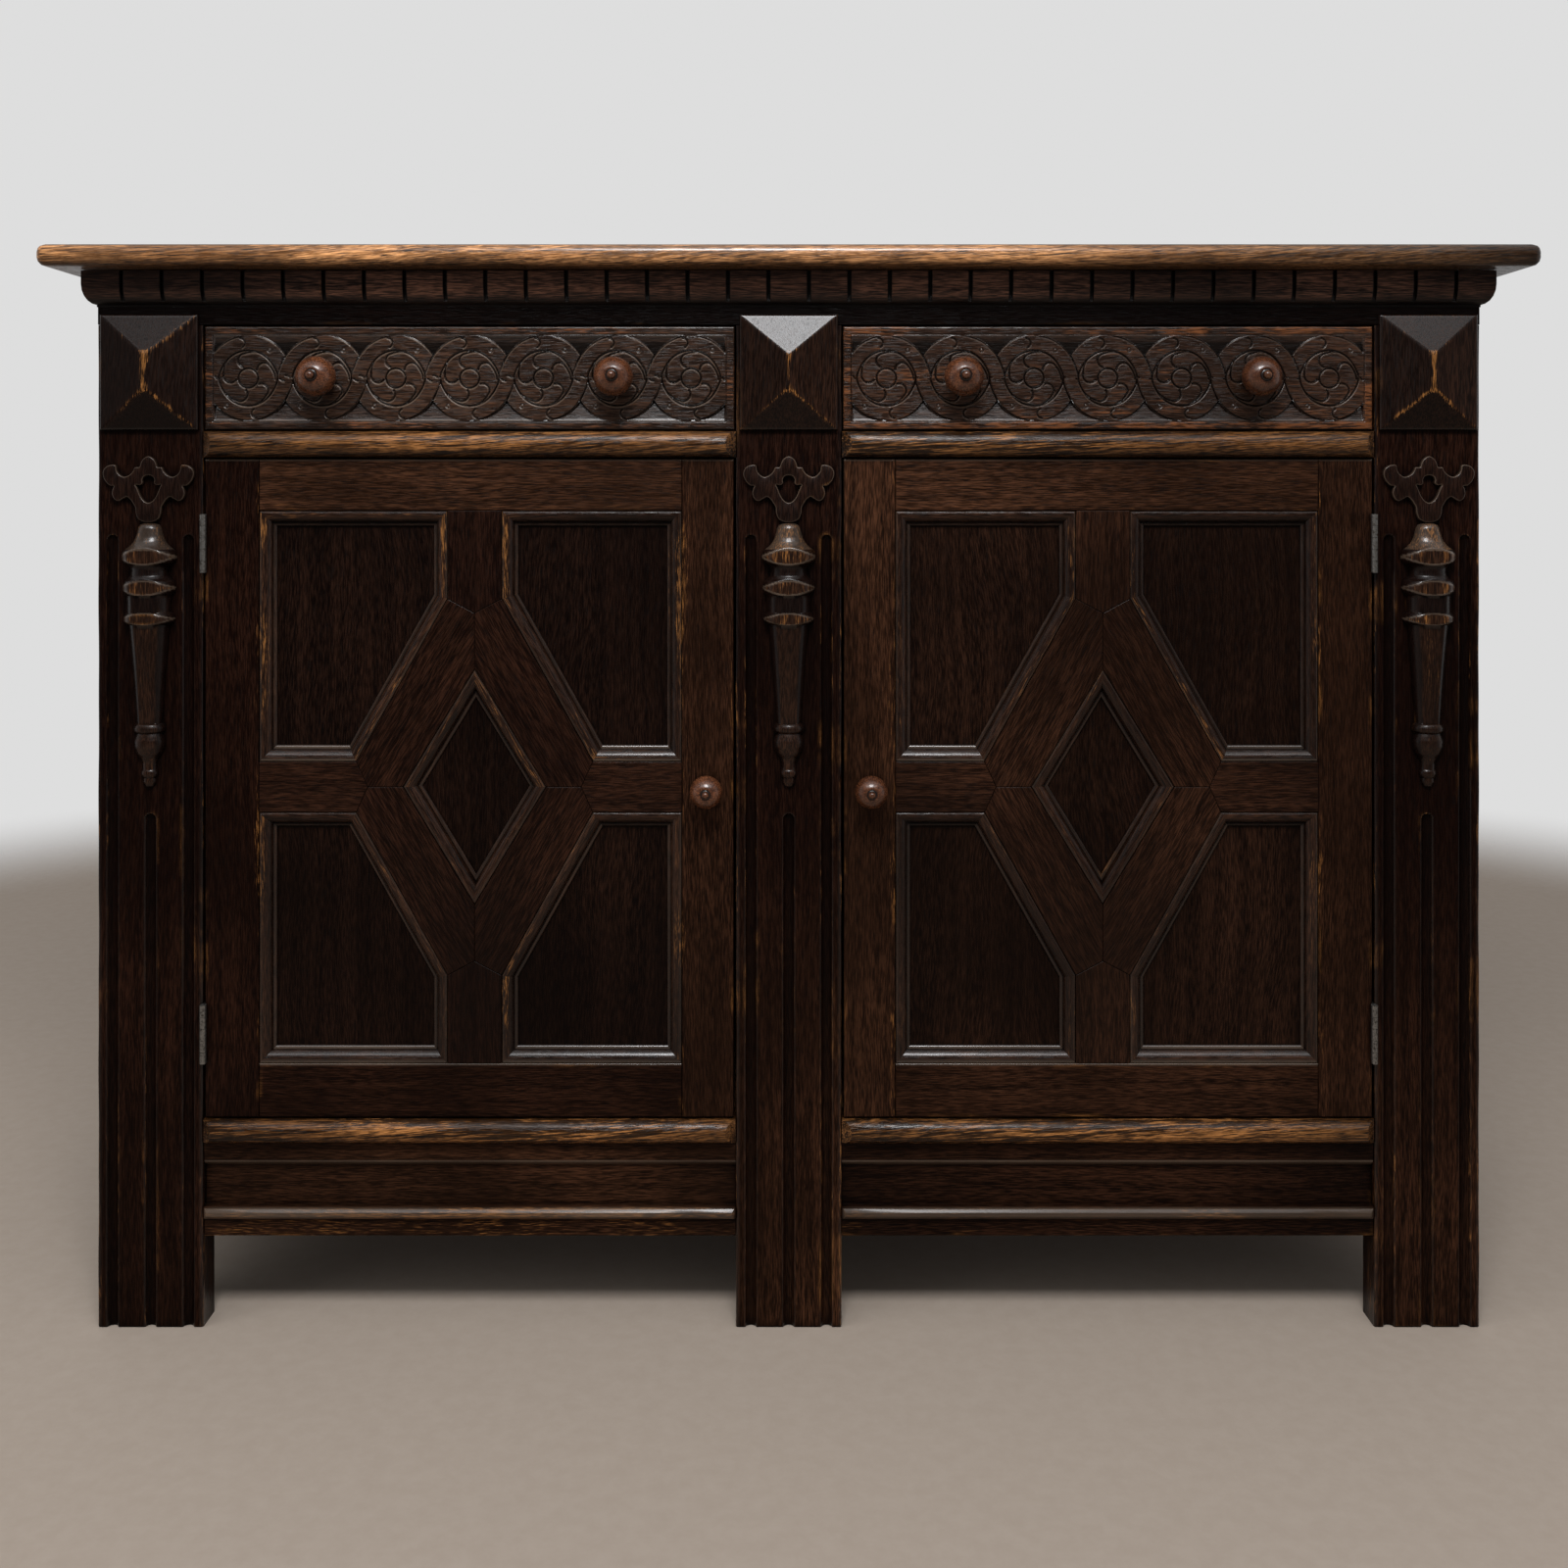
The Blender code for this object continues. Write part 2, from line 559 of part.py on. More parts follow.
def field_cutter(name, outer, side, front, back, top):
    """A sunk field with sloping sides in the outer face of a side."""
    y0, y1 = front + SIDE_STILE_WIDTH, back - SIDE_STILE_WIDTH
    z0, z1 = APRON_BOTTOM + SIDE_RAIL_HEIGHT, top - SIDE_RAIL_HEIGHT
    bm = bmesh.new()
    add_block(bm, (min(outer, outer + side * SIDE_FIELD_SUNK), y0, z0),
              (max(outer, outer + side * SIDE_FIELD_SUNK), y1, z1))
    floor_face = min(bm.faces, key=lambda face: face.calc_center_median().x * side)
    bmesh.ops.recalc_face_normals(bm, faces=bm.faces)
    sunk = pushed_out(bm, floor_face)
    bmesh.ops.translate(bm, vec=(-side * SIDE_FIELD_SUNK, 0.0, 0.0), verts=sunk.verts)
    slope = 2 * SIDE_FIELD_SLOPE
    scaled_about_middle(bm, sunk, (1.0, 1.0 - slope / (y1 - y0), 1.0 - slope / (z1 - z0)))
    return from_bmesh(name, bm, None, CUTTERS)


def back_panel():
    """A thin board between the rear legs."""
    inner = REAR_POST_INNER - JOINT_GAP
    low = (-inner, BACK_PANEL_FRONT, APRON_BOTTOM)
    block("back_panel", low, (inner, BACK_PANEL_FRONT + BACK_THICKNESS, BODY_TOP - JOINT_GAP), INNER_OAK)


def cupboard_floor():
    """The floor of both cupboards, on the side cleats and behind the bottom rails."""
    half = REAR_POST_INNER - JOINT_GAP
    low = (-half, POST_BACK_Y + JOINT_GAP, FLOOR_TOP - FLOOR_THICKNESS)
    block("cupboard_floor", low, (half, BACK_PANEL_FRONT - JOINT_GAP, FLOOR_TOP), INNER_OAK)


def partition():
    """The upright between the two cupboards, with the inner runners of both drawers."""
    half = PARTITION_THICKNESS / 2
    bottom, top = FLOOR_TOP + JOINT_GAP, BODY_TOP - JOINT_GAP
    right = runner_steps(half, HALF_POST + RUNNER_BEARING, HALF_POST)
    section = [(half, bottom)] + right + [(half, top)]
    section = section + [(-x, z) for x, z in reversed(section)]
    front, back = POST_BACK_Y + JOINT_GAP, BACK_PANEL_FRONT - JOINT_GAP
    plate("partition", [section], front, back, ACROSS_FRONT, INNER_OAK)


def pyramid_blocks():
    """Hipped pyramid blocks at the heads of the posts."""
    for label, centre in POST_CENTRES.items():
        back = FACE_Y - JOINT_GAP
        low = (centre - PYRAMID_WIDTH / 2, back - PYRAMID_EDGE, PYRAMID_BOTTOM)
        high = (centre + PYRAMID_WIDTH / 2, back, PYRAMID_BOTTOM + PYRAMID_HEIGHT)
        bm = bmesh.new()
        add_block(bm, low, high)
        face = min(bm.faces, key=lambda f: f.calc_center_median().y)
        ridge = pushed_out(bm, face)
        bmesh.ops.translate(bm, vec=(0.0, -PYRAMID_RISE, 0.0), verts=ridge.verts)
        scaled_about_middle(bm, ridge, (0.0, 1.0, PYRAMID_RIDGE / PYRAMID_HEIGHT))
        bmesh.ops.remove_doubles(bm, verts=bm.verts, dist=0.00001)
        from_bmesh(label + "_pyramid_block", bm, WORN_OAK)


def crest_half():
    """The right half of the fretted crest, up from the foot, about the post's middle."""
    points = [(0.0060, 0.0)]
    points = points + arc_through(points[-1], (0.0085, 0.0110), (0.0149, 0.0184), 4)
    points = points + arc_through(points[-1], (0.0190, 0.0185), (0.0218, 0.0218), 3)
    points = points + arc_through(points[-1], (0.0245, 0.0180), (0.0290, 0.0175), 3)
    points = points + arc_through(points[-1], (0.0335, 0.0230), (0.0303, 0.0307), 4)
    points = points + arc_through(points[-1], (0.0372, 0.0330), (0.0393, 0.0423), 4)
    points = points + arc_through(points[-1], (0.0360, 0.0490), (0.0290, 0.0503), 4)
    points = points + arc_through(points[-1], (0.0272, 0.0430), (0.0218, 0.0398), 4)
    points = points + arc_through(points[-1], (0.0155, 0.0410), (0.0122, 0.0479), 4)
    points = points + arc_through(points[-1], (0.0095, 0.0490), (0.0075, 0.0479), 2)
    return points + arc_through(points[-1], (0.0055, 0.0560), (0.0, 0.0577), 4)


def keyhole():
    """The crest's pierced opening: a round head over a pointed shield."""
    right = [(0.0, 0.0163)] + arc_through((0.0, 0.0163), (0.0085, 0.0215), (0.0124, 0.0321), 4)
    right = right + arc_through(right[-1], (0.0080, 0.0318), (0.0045, 0.0335), 2)
    right = right + arc_through(right[-1], (0.0043, 0.0385), (0.0, 0.0406), 4)
    return right + [(-u, v) for u, v in reversed(right[1:-1])]


def crests():
    """Pierced crests over the pendants."""
    right = crest_half()
    outline = right + [(-u, v) for u, v in reversed(right[:-1])]
    for label, centre in POST_CENTRES.items():
        loops = [[(centre + u, CREST_BOTTOM + v) for u, v in loop] for loop in (outline, keyhole())]
        back = FACE_Y - JOINT_GAP
        plate(label + "_crest", loops, back - CREST_THICKNESS, back, ACROSS_FRONT, WORN_OAK)


def pendant_profile():
    """The pendant's turning, as (radius, drop below its top), top to bottom."""
    profile = [(0.0, 0.0), (0.0030, 0.0002), (0.0080, 0.0040), (0.0098, 0.0074), (0.0145, 0.0195)]
    profile += [(0.0180, 0.0240), (0.0222, 0.0243), (0.0233, 0.0295), (0.0222, 0.0350)]
    profile += [(0.0175, 0.0352), (0.0130, 0.0400), (0.0120, 0.0430), (0.0140, 0.0480), (0.0200, 0.0520)]
    profile += [(0.0226, 0.0530), (0.0226, 0.0620), (0.0196, 0.0622), (0.0196, 0.0800)]
    profile += [(0.0209, 0.0803), (0.0209, 0.0870), (0.0180, 0.0872), (0.0135, 0.1310), (0.0085, 0.1760)]
    profile += [(0.0128, 0.1765), (0.0128, 0.1820), (0.0092, 0.1840), (0.0139, 0.1940), (0.0110, 0.2050)]
    return profile + [(0.0049, 0.2120), (0.0074, 0.2160), (0.0074, 0.2205), (0.0062, 0.2210), (0.0, 0.2296)]


def pendants():
    """Split turnings, halved on the post's face and flattened in front."""
    profile = [(radius, -drop) for radius, drop in pendant_profile()]
    widest = max(radius for radius, drop in profile)
    for label, centre in POST_CENTRES.items():
        pendant = turned(label + "_pendant", profile, WORN_OAK, 18)
        pendant.location = (centre, FACE_Y, PENDANT_TOP)
        low, high = PENDANT_TOP + profile[-1][1] * 2, PENDANT_TOP + widest
        half = block(label + "_split", (centre - widest * 2, FACE_Y - JOINT_GAP, low),
                     (centre + widest * 2, FACE_Y + widest * 2, high), None, CUTTERS)
        worn = block(label + "_flat", (centre - widest * 2, FACE_Y - widest * 2, low),
                     (centre + widest * 2, FACE_Y - PENDANT_FLAT, high), None, CUTTERS)
        combine(pendant, half)
        combine(pendant, worn)


def knob_profile(radius, reach):
    """A ball knob on a ringed foot, with a small nipple, along its own Z from its foot's level up."""
    ball = reach - radius * 1.22
    foot = radius * 0.66
    top = [(0.0, reach), (radius * 0.14, reach - radius * 0.03), (radius * 0.22, reach - radius * 0.13)]
    top = top + [(radius * 0.20, reach - radius * 0.24)]
    curve = arc((0.0, ball), radius, radius * 0.92, 74, -56, 9)
    neck = [(radius * 0.42, ball - radius * 0.90), (radius * 0.44, radius * 0.34)]
    ring = [(foot, radius * 0.30), (foot * 1.06, radius * 0.16), (foot, 0.0), (0.0, 0.0)]
    return top + curve + neck + ring


def knob(name, x, z, radius, reach):
    """A turned knob standing on the front, its axis pointing forward."""
    piece = turned(name, knob_profile(radius, reach - JOINT_GAP), TURNED_OAK, 14)
    piece.rotation_euler = (math.pi / 2, 0.0, 0.0)
    piece.location = (x, FACE_Y - JOINT_GAP, z)
    return piece


def carved_field(name, left, right, bottom, top):
    """What is cut away round the roundels: a sunk band with the row of roundels left standing."""
    middle_x, middle_z = (left + right) / 2, (bottom + top) / 2
    radius = min(ROUNDEL_RADIUS, (top - bottom) / 2 - DRAWER_MARGIN)
    low = (left + DRAWER_MARGIN, FACE_Y - CARVING_SUNK, bottom + DRAWER_MARGIN)
    high = (right - DRAWER_MARGIN, FACE_Y + CARVING_SUNK, top - DRAWER_MARGIN)
    band = block(name, low, high, None, CUTTERS)
    for number, x in enumerate(roundel_centres(middle_x, right - left)):
        bm = bmesh.new()
        matrix = Matrix.Translation((x, FACE_Y, middle_z)) @ Matrix.Rotation(math.pi / 2, 4, "X")
        bmesh.ops.create_cone(bm, cap_ends=True, segments=24, radius1=radius, radius2=radius,
                              depth=CARVING_SUNK * 4, matrix=matrix)
        combine(band, from_bmesh(f"{name}_roundel_{number}", bm, None, CUTTERS))
    return band


def roundel_centres(middle_x, width):
    """The middles of the roundels along a drawer front."""
    last = (width / 2 - DRAWER_MARGIN) / (ROUNDEL_COUNT / 2)
    pitch = min(ROUNDEL_PITCH, last)
    return [middle_x + (i - (ROUNDEL_COUNT - 1) / 2) * pitch for i in range(ROUNDEL_COUNT)]


def drawer(label, side):
    """One drawer: a carved front, a box, a grooved-in bottom and two knobs."""
    ends = sorted((side * (HALF_POST + DRAWER_GAP), side * (POST_INNER - DRAWER_GAP)))
    left, right = ends
    bottom, top = DRAWER_RAIL_TOP + DRAWER_GAP, HEAD_RAIL_BOTTOM - DRAWER_GAP
    name = label + "_drawer_"
    middle_x, middle_z = (left + right) / 2, (bottom + top) / 2
    front_back = FACE_Y + DRAWER_FRONT_THICKNESS
    front = block(name + "front", (left, FACE_Y, bottom), (right, front_back, top), DARK_OAK)
    combine(front, carved_field(name + "field", left, right, bottom, top))
    centres = roundel_centres(middle_x, right - left)
    eye = min(ROUNDEL_EYE_RADIUS, (top - bottom) / 2 - DRAWER_MARGIN * 2)
    for number, x in enumerate(centres):
        if abs(number - (ROUNDEL_COUNT - 1) / 2) == DRAWER_KNOB_PLACE:
            continue
        bm = bmesh.new()
        matrix = Matrix.Translation((x, FACE_Y, middle_z)) @ Matrix.Rotation(math.pi / 2, 4, "X")
        bmesh.ops.create_cone(bm, cap_ends=True, segments=20, radius1=eye, radius2=eye,
                              depth=ROUNDEL_EYE_SUNK * 2, matrix=matrix)
        combine(front, from_bmesh(f"{name}eye_{number}", bm, None, CUTTERS))
    box_front = front_back + JOINT_GAP
    box_back = box_front + DRAWER_BOX_DEPTH
    wall = DRAWER_SIDE_THICKNESS
    low = DRAWER_RAIL_TOP + JOINT_GAP
    outline = [(left, box_front), (left + wall, box_front), (left + wall, box_back - wall),
               (right - wall, box_back - wall), (right - wall, box_front), (right, box_front),
               (right, box_back), (left, box_back)]
    box = plate(name + "box", [outline], low, low + DRAWER_SIDE_HEIGHT, LEVEL, INNER_OAK)
    reach = DRAWER_GROOVE - JOINT_GAP
    board_low = low + DRAWER_BOTTOM_RAISED
    board_high = board_low + DRAWER_BOTTOM_THICKNESS
    board = block(name + "bottom", (left + wall - reach, box_front, board_low),
                  (right - wall + reach, box_back - wall + reach, board_high), INNER_OAK)
    groove_low = (left + wall - DRAWER_GROOVE, box_front - wall, board_low - JOINT_GAP)
    groove_high = (right - wall + DRAWER_GROOVE, box_back - wall + DRAWER_GROOVE, board_high + JOINT_GAP)
    groove = block(name + "groove", groove_low, groove_high, None, CUTTERS)
    combine(box, groove)
    middle = (ROUNDEL_COUNT - 1) // 2
    knobs = [knob(name + "knob_" + end, centres[middle + step * DRAWER_KNOB_PLACE], middle_z,
                  DRAWER_KNOB_RADIUS, DRAWER_KNOB_REACH) for end, step in (("left", -1), ("right", 1))]
    axis = axis_empty(name + "slide", (middle_x, FACE_Y, middle_z))
    carried_by(axis, [front, box, board, *knobs])


def opening_outlines(side):
    """The five openings of a door at the outer arris of their mouldings, in (x, z)."""
    outer, inner = DOOR_HINGE_EDGE - HINGE_STILE_FLAT, DOOR_KNOB_EDGE + KNOB_STILE_FLAT
    low, high = DOOR_BOTTOM + BOTTOM_RAIL_FLAT, DOOR_TOP - TOP_RAIL_FLAT
    middle_x, middle_z = (outer + inner) / 2 - LATTICE_SHIFT, (low + high) / 2
    muntin, rail = MUNTIN_WIDTH / 2, MIDDLE_RAIL_WIDTH / 2
    outlines = []
    for edge, across in ((outer, 1), (inner, -1)):
        for end, up in ((high, 1), (low, -1)):
            corner = [(edge, end), (middle_x + across * muntin, end),
                      (middle_x + across * muntin, middle_z + up * MUNTIN_REACH),
                      (middle_x + across * MIDDLE_RAIL_REACH, middle_z + up * rail),
                      (edge, middle_z + up * rail)]
            outlines.append(corner)
    outlines.append([(middle_x + DIAMOND_HALF_WIDTH, middle_z), (middle_x, middle_z + DIAMOND_HALF_HEIGHT),
                     (middle_x - DIAMOND_HALF_WIDTH, middle_z), (middle_x, middle_z - DIAMOND_HALF_HEIGHT)])
    return [[(side * x, z) for x, z in outline] for outline in outlines]


def moulding_steps():
    """The moulding's section from its outer arris to the panel, as steps of (inward, back)."""
    nose_width = MOULDING_WIDTH * (1.0 - MOULDING_FILLET_SHARE)
    nose_drop = PANEL_SUNK * MOULDING_NOSE_SHARE
    quarter = arc((0.0, 0.0), nose_width, nose_drop, 90, 0, 4)
    points = [(0.0, 0.0)] + [(u, nose_drop - v) for u, v in quarter[1:]] + [(MOULDING_WIDTH, PANEL_SUNK)]
    return [(b[0] - a[0], b[1] - a[1]) for a, b in zip(points, points[1:])]


def openings_cutter(name, side):
    """The space of all five openings of a door, widening forward through their mouldings."""
    bm = bmesh.new()
    for outline in opening_outlines(side):
        start = FACE_Y - MOULDING_WIDTH
        face = bm.faces.new([bm.verts.new((x, start, z)) for x, z in outline])
        bmesh.ops.recalc_face_normals(bm, faces=[face])
        face = pushed_out(bm, face, keep=True)
        bmesh.ops.translate(bm, vec=(0.0, MOULDING_WIDTH, 0.0), verts=face.verts)
        for inward, back in moulding_steps():
            bmesh.ops.inset_region(bm, faces=[face], thickness=inward, use_even_offset=True)
            bmesh.ops.translate(bm, vec=(0.0, back, 0.0), verts=face.verts)
        face = pushed_out(bm, face)
        bmesh.ops.translate(bm, vec=(0.0, DOOR_THICKNESS, 0.0), verts=face.verts)
    return from_bmesh(name, bm, None, CUTTERS)


def hinge_centres():
    """The heights of a door's two hinges."""
    inset = HINGE_FROM_DOOR_END
    return (DOOR_BOTTOM + inset, DOOR_TOP - inset)


def leaf_mortise(name, face, side, centre_z):
    """The shallow seat of a hinge leaf, cut into wood whose face is at x = face."""
    deep = face + side * (LEAF_THICKNESS + JOINT_GAP)
    proud = face - side * LEAF_THICKNESS
    half = HINGE_LENGTH / 2 + JOINT_GAP
    low = (min(deep, proud), FACE_Y - KNUCKLE_RADIUS, centre_z - half)
    high = (max(deep, proud), FACE_Y + LEAF_WIDTH + JOINT_GAP, centre_z + half)
    return block(name, low, high, None, CUTTERS)


def hinge_leaf(name, face, side, centre_z, on_post):
    """One leaf of a butt hinge with its share of the knuckles; the post's leaf holds the pin."""
    inside = face + side * LEAF_THICKNESS
    half = HINGE_LENGTH / 2
    low = (min(face, inside), FACE_Y, centre_z - half)
    leaf = block(name, low, (max(face, inside), FACE_Y + LEAF_WIDTH, centre_z + half), HINGE_STEEL)
    axis_x = math.copysign(HINGE_X, face)
    knuckle = HINGE_LENGTH / KNUCKLES
    for number in range(KNUCKLES):
        if (number % 2 == 0) != on_post:
            continue
        z0 = centre_z - half + number * knuckle + JOINT_GAP / 2
        z1 = z0 + knuckle - JOINT_GAP
        bm = bmesh.new()
        add_block(bm, (min(face, inside), HINGE_Y, z0), (max(face, inside), FACE_Y + LEAF_WIDTH / 4, z1))
        combine(leaf, from_bmesh(f"{name}_strap_{number}", bm, None, CUTTERS), "UNION")
        combine(leaf, rod(f"{name}_knuckle_{number}", axis_x, KNUCKLE_RADIUS, z0, z1), "UNION")
    pin_radius = PIN_RADIUS if on_post else PIN_RADIUS + PIN_CLEARANCE
    spare = 0.0 if on_post else HINGE_LENGTH
    reach = half - JOINT_GAP + spare
    pin = rod(name + "_pin", axis_x, pin_radius, centre_z - reach, centre_z + reach)
    return combine(leaf, pin, "UNION" if on_post else "DIFFERENCE")


def rod(name, axis_x, radius, low, high):
    """An upright round bar on a hinge's axis."""
    bm = bmesh.new()
    matrix = Matrix.Translation((axis_x, HINGE_Y, (low + high) / 2))
    bmesh.ops.create_cone(bm, cap_ends=True, segments=12, radius1=radius, radius2=radius,
                          depth=high - low, matrix=matrix)
    return from_bmesh(name, bm, None, CUTTERS)


def door(label, side):
    """One door: a moulded frame, a diamond lattice on a panel, a knob and its hinges' leaves."""
    name = label + "_door_"
    back = FACE_Y + DOOR_THICKNESS
    sight_outer = DOOR_HINGE_EDGE - HINGE_STILE_FLAT - MOULDING_WIDTH
    sight_inner = DOOR_KNOB_EDGE + KNOB_STILE_FLAT + MOULDING_WIDTH
    sight_low = DOOR_BOTTOM + BOTTOM_RAIL_FLAT + MOULDING_WIDTH
    sight_high = DOOR_TOP - TOP_RAIL_FLAT - MOULDING_WIDTH
    between = (sight_inner + JOINT_GAP, sight_outer - JOINT_GAP)

    def board(part, across, heights, depths):
        x0, x1 = sorted(side * u for u in across)
        (z0, z1), (y0, y1) = heights, depths
        return block(name + part, (x0, y0, z0), (x1, y1, z1), DARK_OAK)

    frame = [board("hinge_stile", (sight_outer, DOOR_HINGE_EDGE), (DOOR_BOTTOM, DOOR_TOP), (FACE_Y, back)),
             board("knob_stile", (DOOR_KNOB_EDGE, sight_inner), (DOOR_BOTTOM, DOOR_TOP), (FACE_Y, back)),
             board("top_rail", between, (sight_high, DOOR_TOP), (FACE_Y, back)),
             board("bottom_rail", between, (DOOR_BOTTOM, sight_low), (FACE_Y, back))]
    lattice = board("lattice", between, (sight_low + JOINT_GAP, sight_high - JOINT_GAP),
                    (FACE_Y, FACE_Y + PANEL_SUNK))
    tongue = PANEL_TONGUE - JOINT_GAP
    panel = board("panel", (sight_inner - tongue, sight_outer + tongue),
                  (sight_low - tongue, sight_high + tongue),
                  (PANEL_FRONT_Y, PANEL_FRONT_Y + PANEL_THICKNESS))
    x0, x1 = sorted((side * (sight_inner - PANEL_TONGUE), side * (sight_outer + PANEL_TONGUE)))
    rebate = block(name + "rebate", (x0, FACE_Y + PANEL_SUNK, sight_low - PANEL_TONGUE),
                   (x1, back + DOOR_THICKNESS, sight_high + PANEL_TONGUE), None, CUTTERS)
    openings = openings_cutter(name + "openings", side)
    for piece in frame:
        combine(piece, rebate)
    for piece in (*frame, lattice):
        combine(piece, openings)
    leaves = []
    for end, centre_z in zip(("lower", "upper"), hinge_centres()):
        combine(frame[0], leaf_mortise(f"{name}mortise_{end}", side * DOOR_HINGE_EDGE, -side, centre_z))
        leaves.append(hinge_leaf(f"{name}hinge_leaf_{end}", side * DOOR_HINGE_EDGE, -side, centre_z, False))
        hinge_leaf(f"{label}_post_hinge_leaf_{end}", side * POST_INNER, side, centre_z, True)
    handle = knob(name + "knob", side * (DOOR_KNOB_EDGE + DOOR_KNOB_INSET), (DOOR_BOTTOM + DOOR_TOP) / 2,
                  DOOR_KNOB_RADIUS, DOOR_KNOB_REACH)
    axis = axis_empty(name + "hinge", (side * HINGE_X, HINGE_Y, (DOOR_BOTTOM + DOOR_TOP) / 2))
    carried_by(axis, [*frame, lattice, panel, handle, *leaves])


top_board()
frieze_mouldings()
front_posts()
rear_posts()
head_rail()
drawer_rails()
bottom_rails()
side_panels()
back_panel()
cupboard_floor()
partition()
pyramid_blocks()
crests()
pendants()
for side_label, side_sign in SIDES.items():
    drawer(side_label, side_sign)
    door(side_label, side_sign)
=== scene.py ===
"""The looks of an oak sideboard in the Jacobean manner: near-black stained oak, carved, moulded and worn.

Metres, +Z up, front facing -Y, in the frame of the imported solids.
"""
import json
import math

import bmesh
import bpy
import numpy as np
from mathutils import Matrix, Vector


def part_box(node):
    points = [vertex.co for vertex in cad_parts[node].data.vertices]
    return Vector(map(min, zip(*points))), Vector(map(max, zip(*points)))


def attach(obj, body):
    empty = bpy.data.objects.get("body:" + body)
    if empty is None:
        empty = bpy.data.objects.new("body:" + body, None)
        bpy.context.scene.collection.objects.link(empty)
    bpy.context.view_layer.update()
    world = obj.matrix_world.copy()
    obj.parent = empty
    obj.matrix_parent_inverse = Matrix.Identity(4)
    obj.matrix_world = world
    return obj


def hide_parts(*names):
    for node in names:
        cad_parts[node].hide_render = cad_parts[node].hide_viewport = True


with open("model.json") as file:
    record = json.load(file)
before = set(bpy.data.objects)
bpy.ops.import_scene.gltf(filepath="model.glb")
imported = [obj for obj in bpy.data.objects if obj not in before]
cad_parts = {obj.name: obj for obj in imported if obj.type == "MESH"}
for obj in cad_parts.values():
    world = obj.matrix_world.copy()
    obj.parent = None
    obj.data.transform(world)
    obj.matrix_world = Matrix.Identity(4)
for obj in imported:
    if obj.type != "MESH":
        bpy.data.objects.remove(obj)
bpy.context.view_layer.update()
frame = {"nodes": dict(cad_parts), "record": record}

NODES = frame["nodes"]
BODY_OF = {node: body for body, nodes in frame["record"]["behaviour"]["bodies"].items() for node in nodes}
SLOT_OF = {row["node"]: row["material_slot"] for row in frame["record"]["subparts"]}

# Places read from the solids
FACE_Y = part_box("centre_front_post")[0].y
SIDES = {"left": -1, "right": 1}
POSTS = {label: sum(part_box(label + "_front_post"), Vector()).x / 2 for label in ("left", "centre", "right")}

# The camera of the photograph
EYE = (0.0, FACE_Y - 1.40, 0.725)
LENS = 36.9
SENSOR = 36.0
SHIFT = (-0.003, -0.184)


def feed(tree, node, inputs):
    """Sets a shader node's inputs, as values or links."""
    for socket, value in inputs.items():
        if isinstance(value, bpy.types.NodeSocket):
            tree.links.new(value, node.inputs[socket])
        else:
            node.inputs[socket].default_value = value


def add_node(tree, kind, inputs=None, **settings):
    """Adds one shader node, with its settings, and its inputs as values or links."""
    made = tree.nodes.new("ShaderNode" + kind)
    for name, value in settings.items():
        setattr(made, name, value)
    feed(tree, made, inputs or {})
    return made


def reckon(tree, operation, *values, clamp=False):
    """One step of arithmetic on shader values."""
    step = add_node(tree, "Math", dict(enumerate(values)), operation=operation, use_clamp=clamp)
    return step.outputs[0]


def ramp(tree, value, low, high, to_low=0.0, to_high=1.0):
    """A smooth step of a value from one range to another."""
    inputs = {"Value": value, "From Min": low, "From Max": high, "To Min": to_low, "To Max": to_high}
    return add_node(tree, "MapRange", inputs, interpolation_type="SMOOTHSTEP").outputs[0]


def blend(tree, share, first, second, kind="MIX"):
    """One colour laid over another by a share."""
    mix = add_node(tree, "Mix", data_type="RGBA", blend_type=kind, clamp_factor=True)
    for socket, value in zip((mix.inputs[0], mix.inputs[6], mix.inputs[7]), (share, first, second)):
        if isinstance(value, bpy.types.NodeSocket):
            tree.links.new(value, socket)
        elif isinstance(value, tuple):
            socket.default_value = (*value, 1.0)
        else:
            socket.default_value = value
    return mix.outputs[2]


def noise(tree, vector, scale, detail=2.0, roughness=0.5):
    """Blotches of one size, from 0 to 1."""
    inputs = {"Vector": vector, "Scale": scale, "Detail": detail, "Roughness": roughness}
    return add_node(tree, "TexNoise", inputs).outputs[0]


def drawn_out(tree, vector, across, along, detail, roughness=0.5):
    """Blotches drawn out along the grain, which runs along Z, by how many there are in a metre each way."""
    inputs = {0: vector, 1: (across, across, along)}
    stretched = add_node(tree, "VectorMath", inputs, operation="MULTIPLY").outputs[0]
    return noise(tree, stretched, 1.0, detail, roughness)


def new_group(name, inputs, outputs):
    """An empty shader group with named sockets."""
    tree = bpy.data.node_groups.new(name, "ShaderNodeTree")
    for socket, kind, value in inputs:
        made = tree.interface.new_socket(socket, in_out="INPUT", socket_type="NodeSocket" + kind)
        if value is not None:
            made.default_value = value
    for socket, kind in outputs:
        tree.interface.new_socket(socket, in_out="OUTPUT", socket_type="NodeSocket" + kind)
    return tree, tree.nodes.new("NodeGroupInput").outputs, tree.nodes.new("NodeGroupOutput").inputs


def new_material(name):
    """A material with its shader tree, its surface shader and the places on the piece it is on."""
    material = bpy.data.materials.new(name)
    material.use_nodes = True
    tree = material.node_tree
    return material, tree, tree.nodes["Principled BSDF"], add_node(tree, "TexCoord").outputs["Object"]


# How high a fibre stands, next to the depth of a pore
FIBRE_RELIEF = 0.35


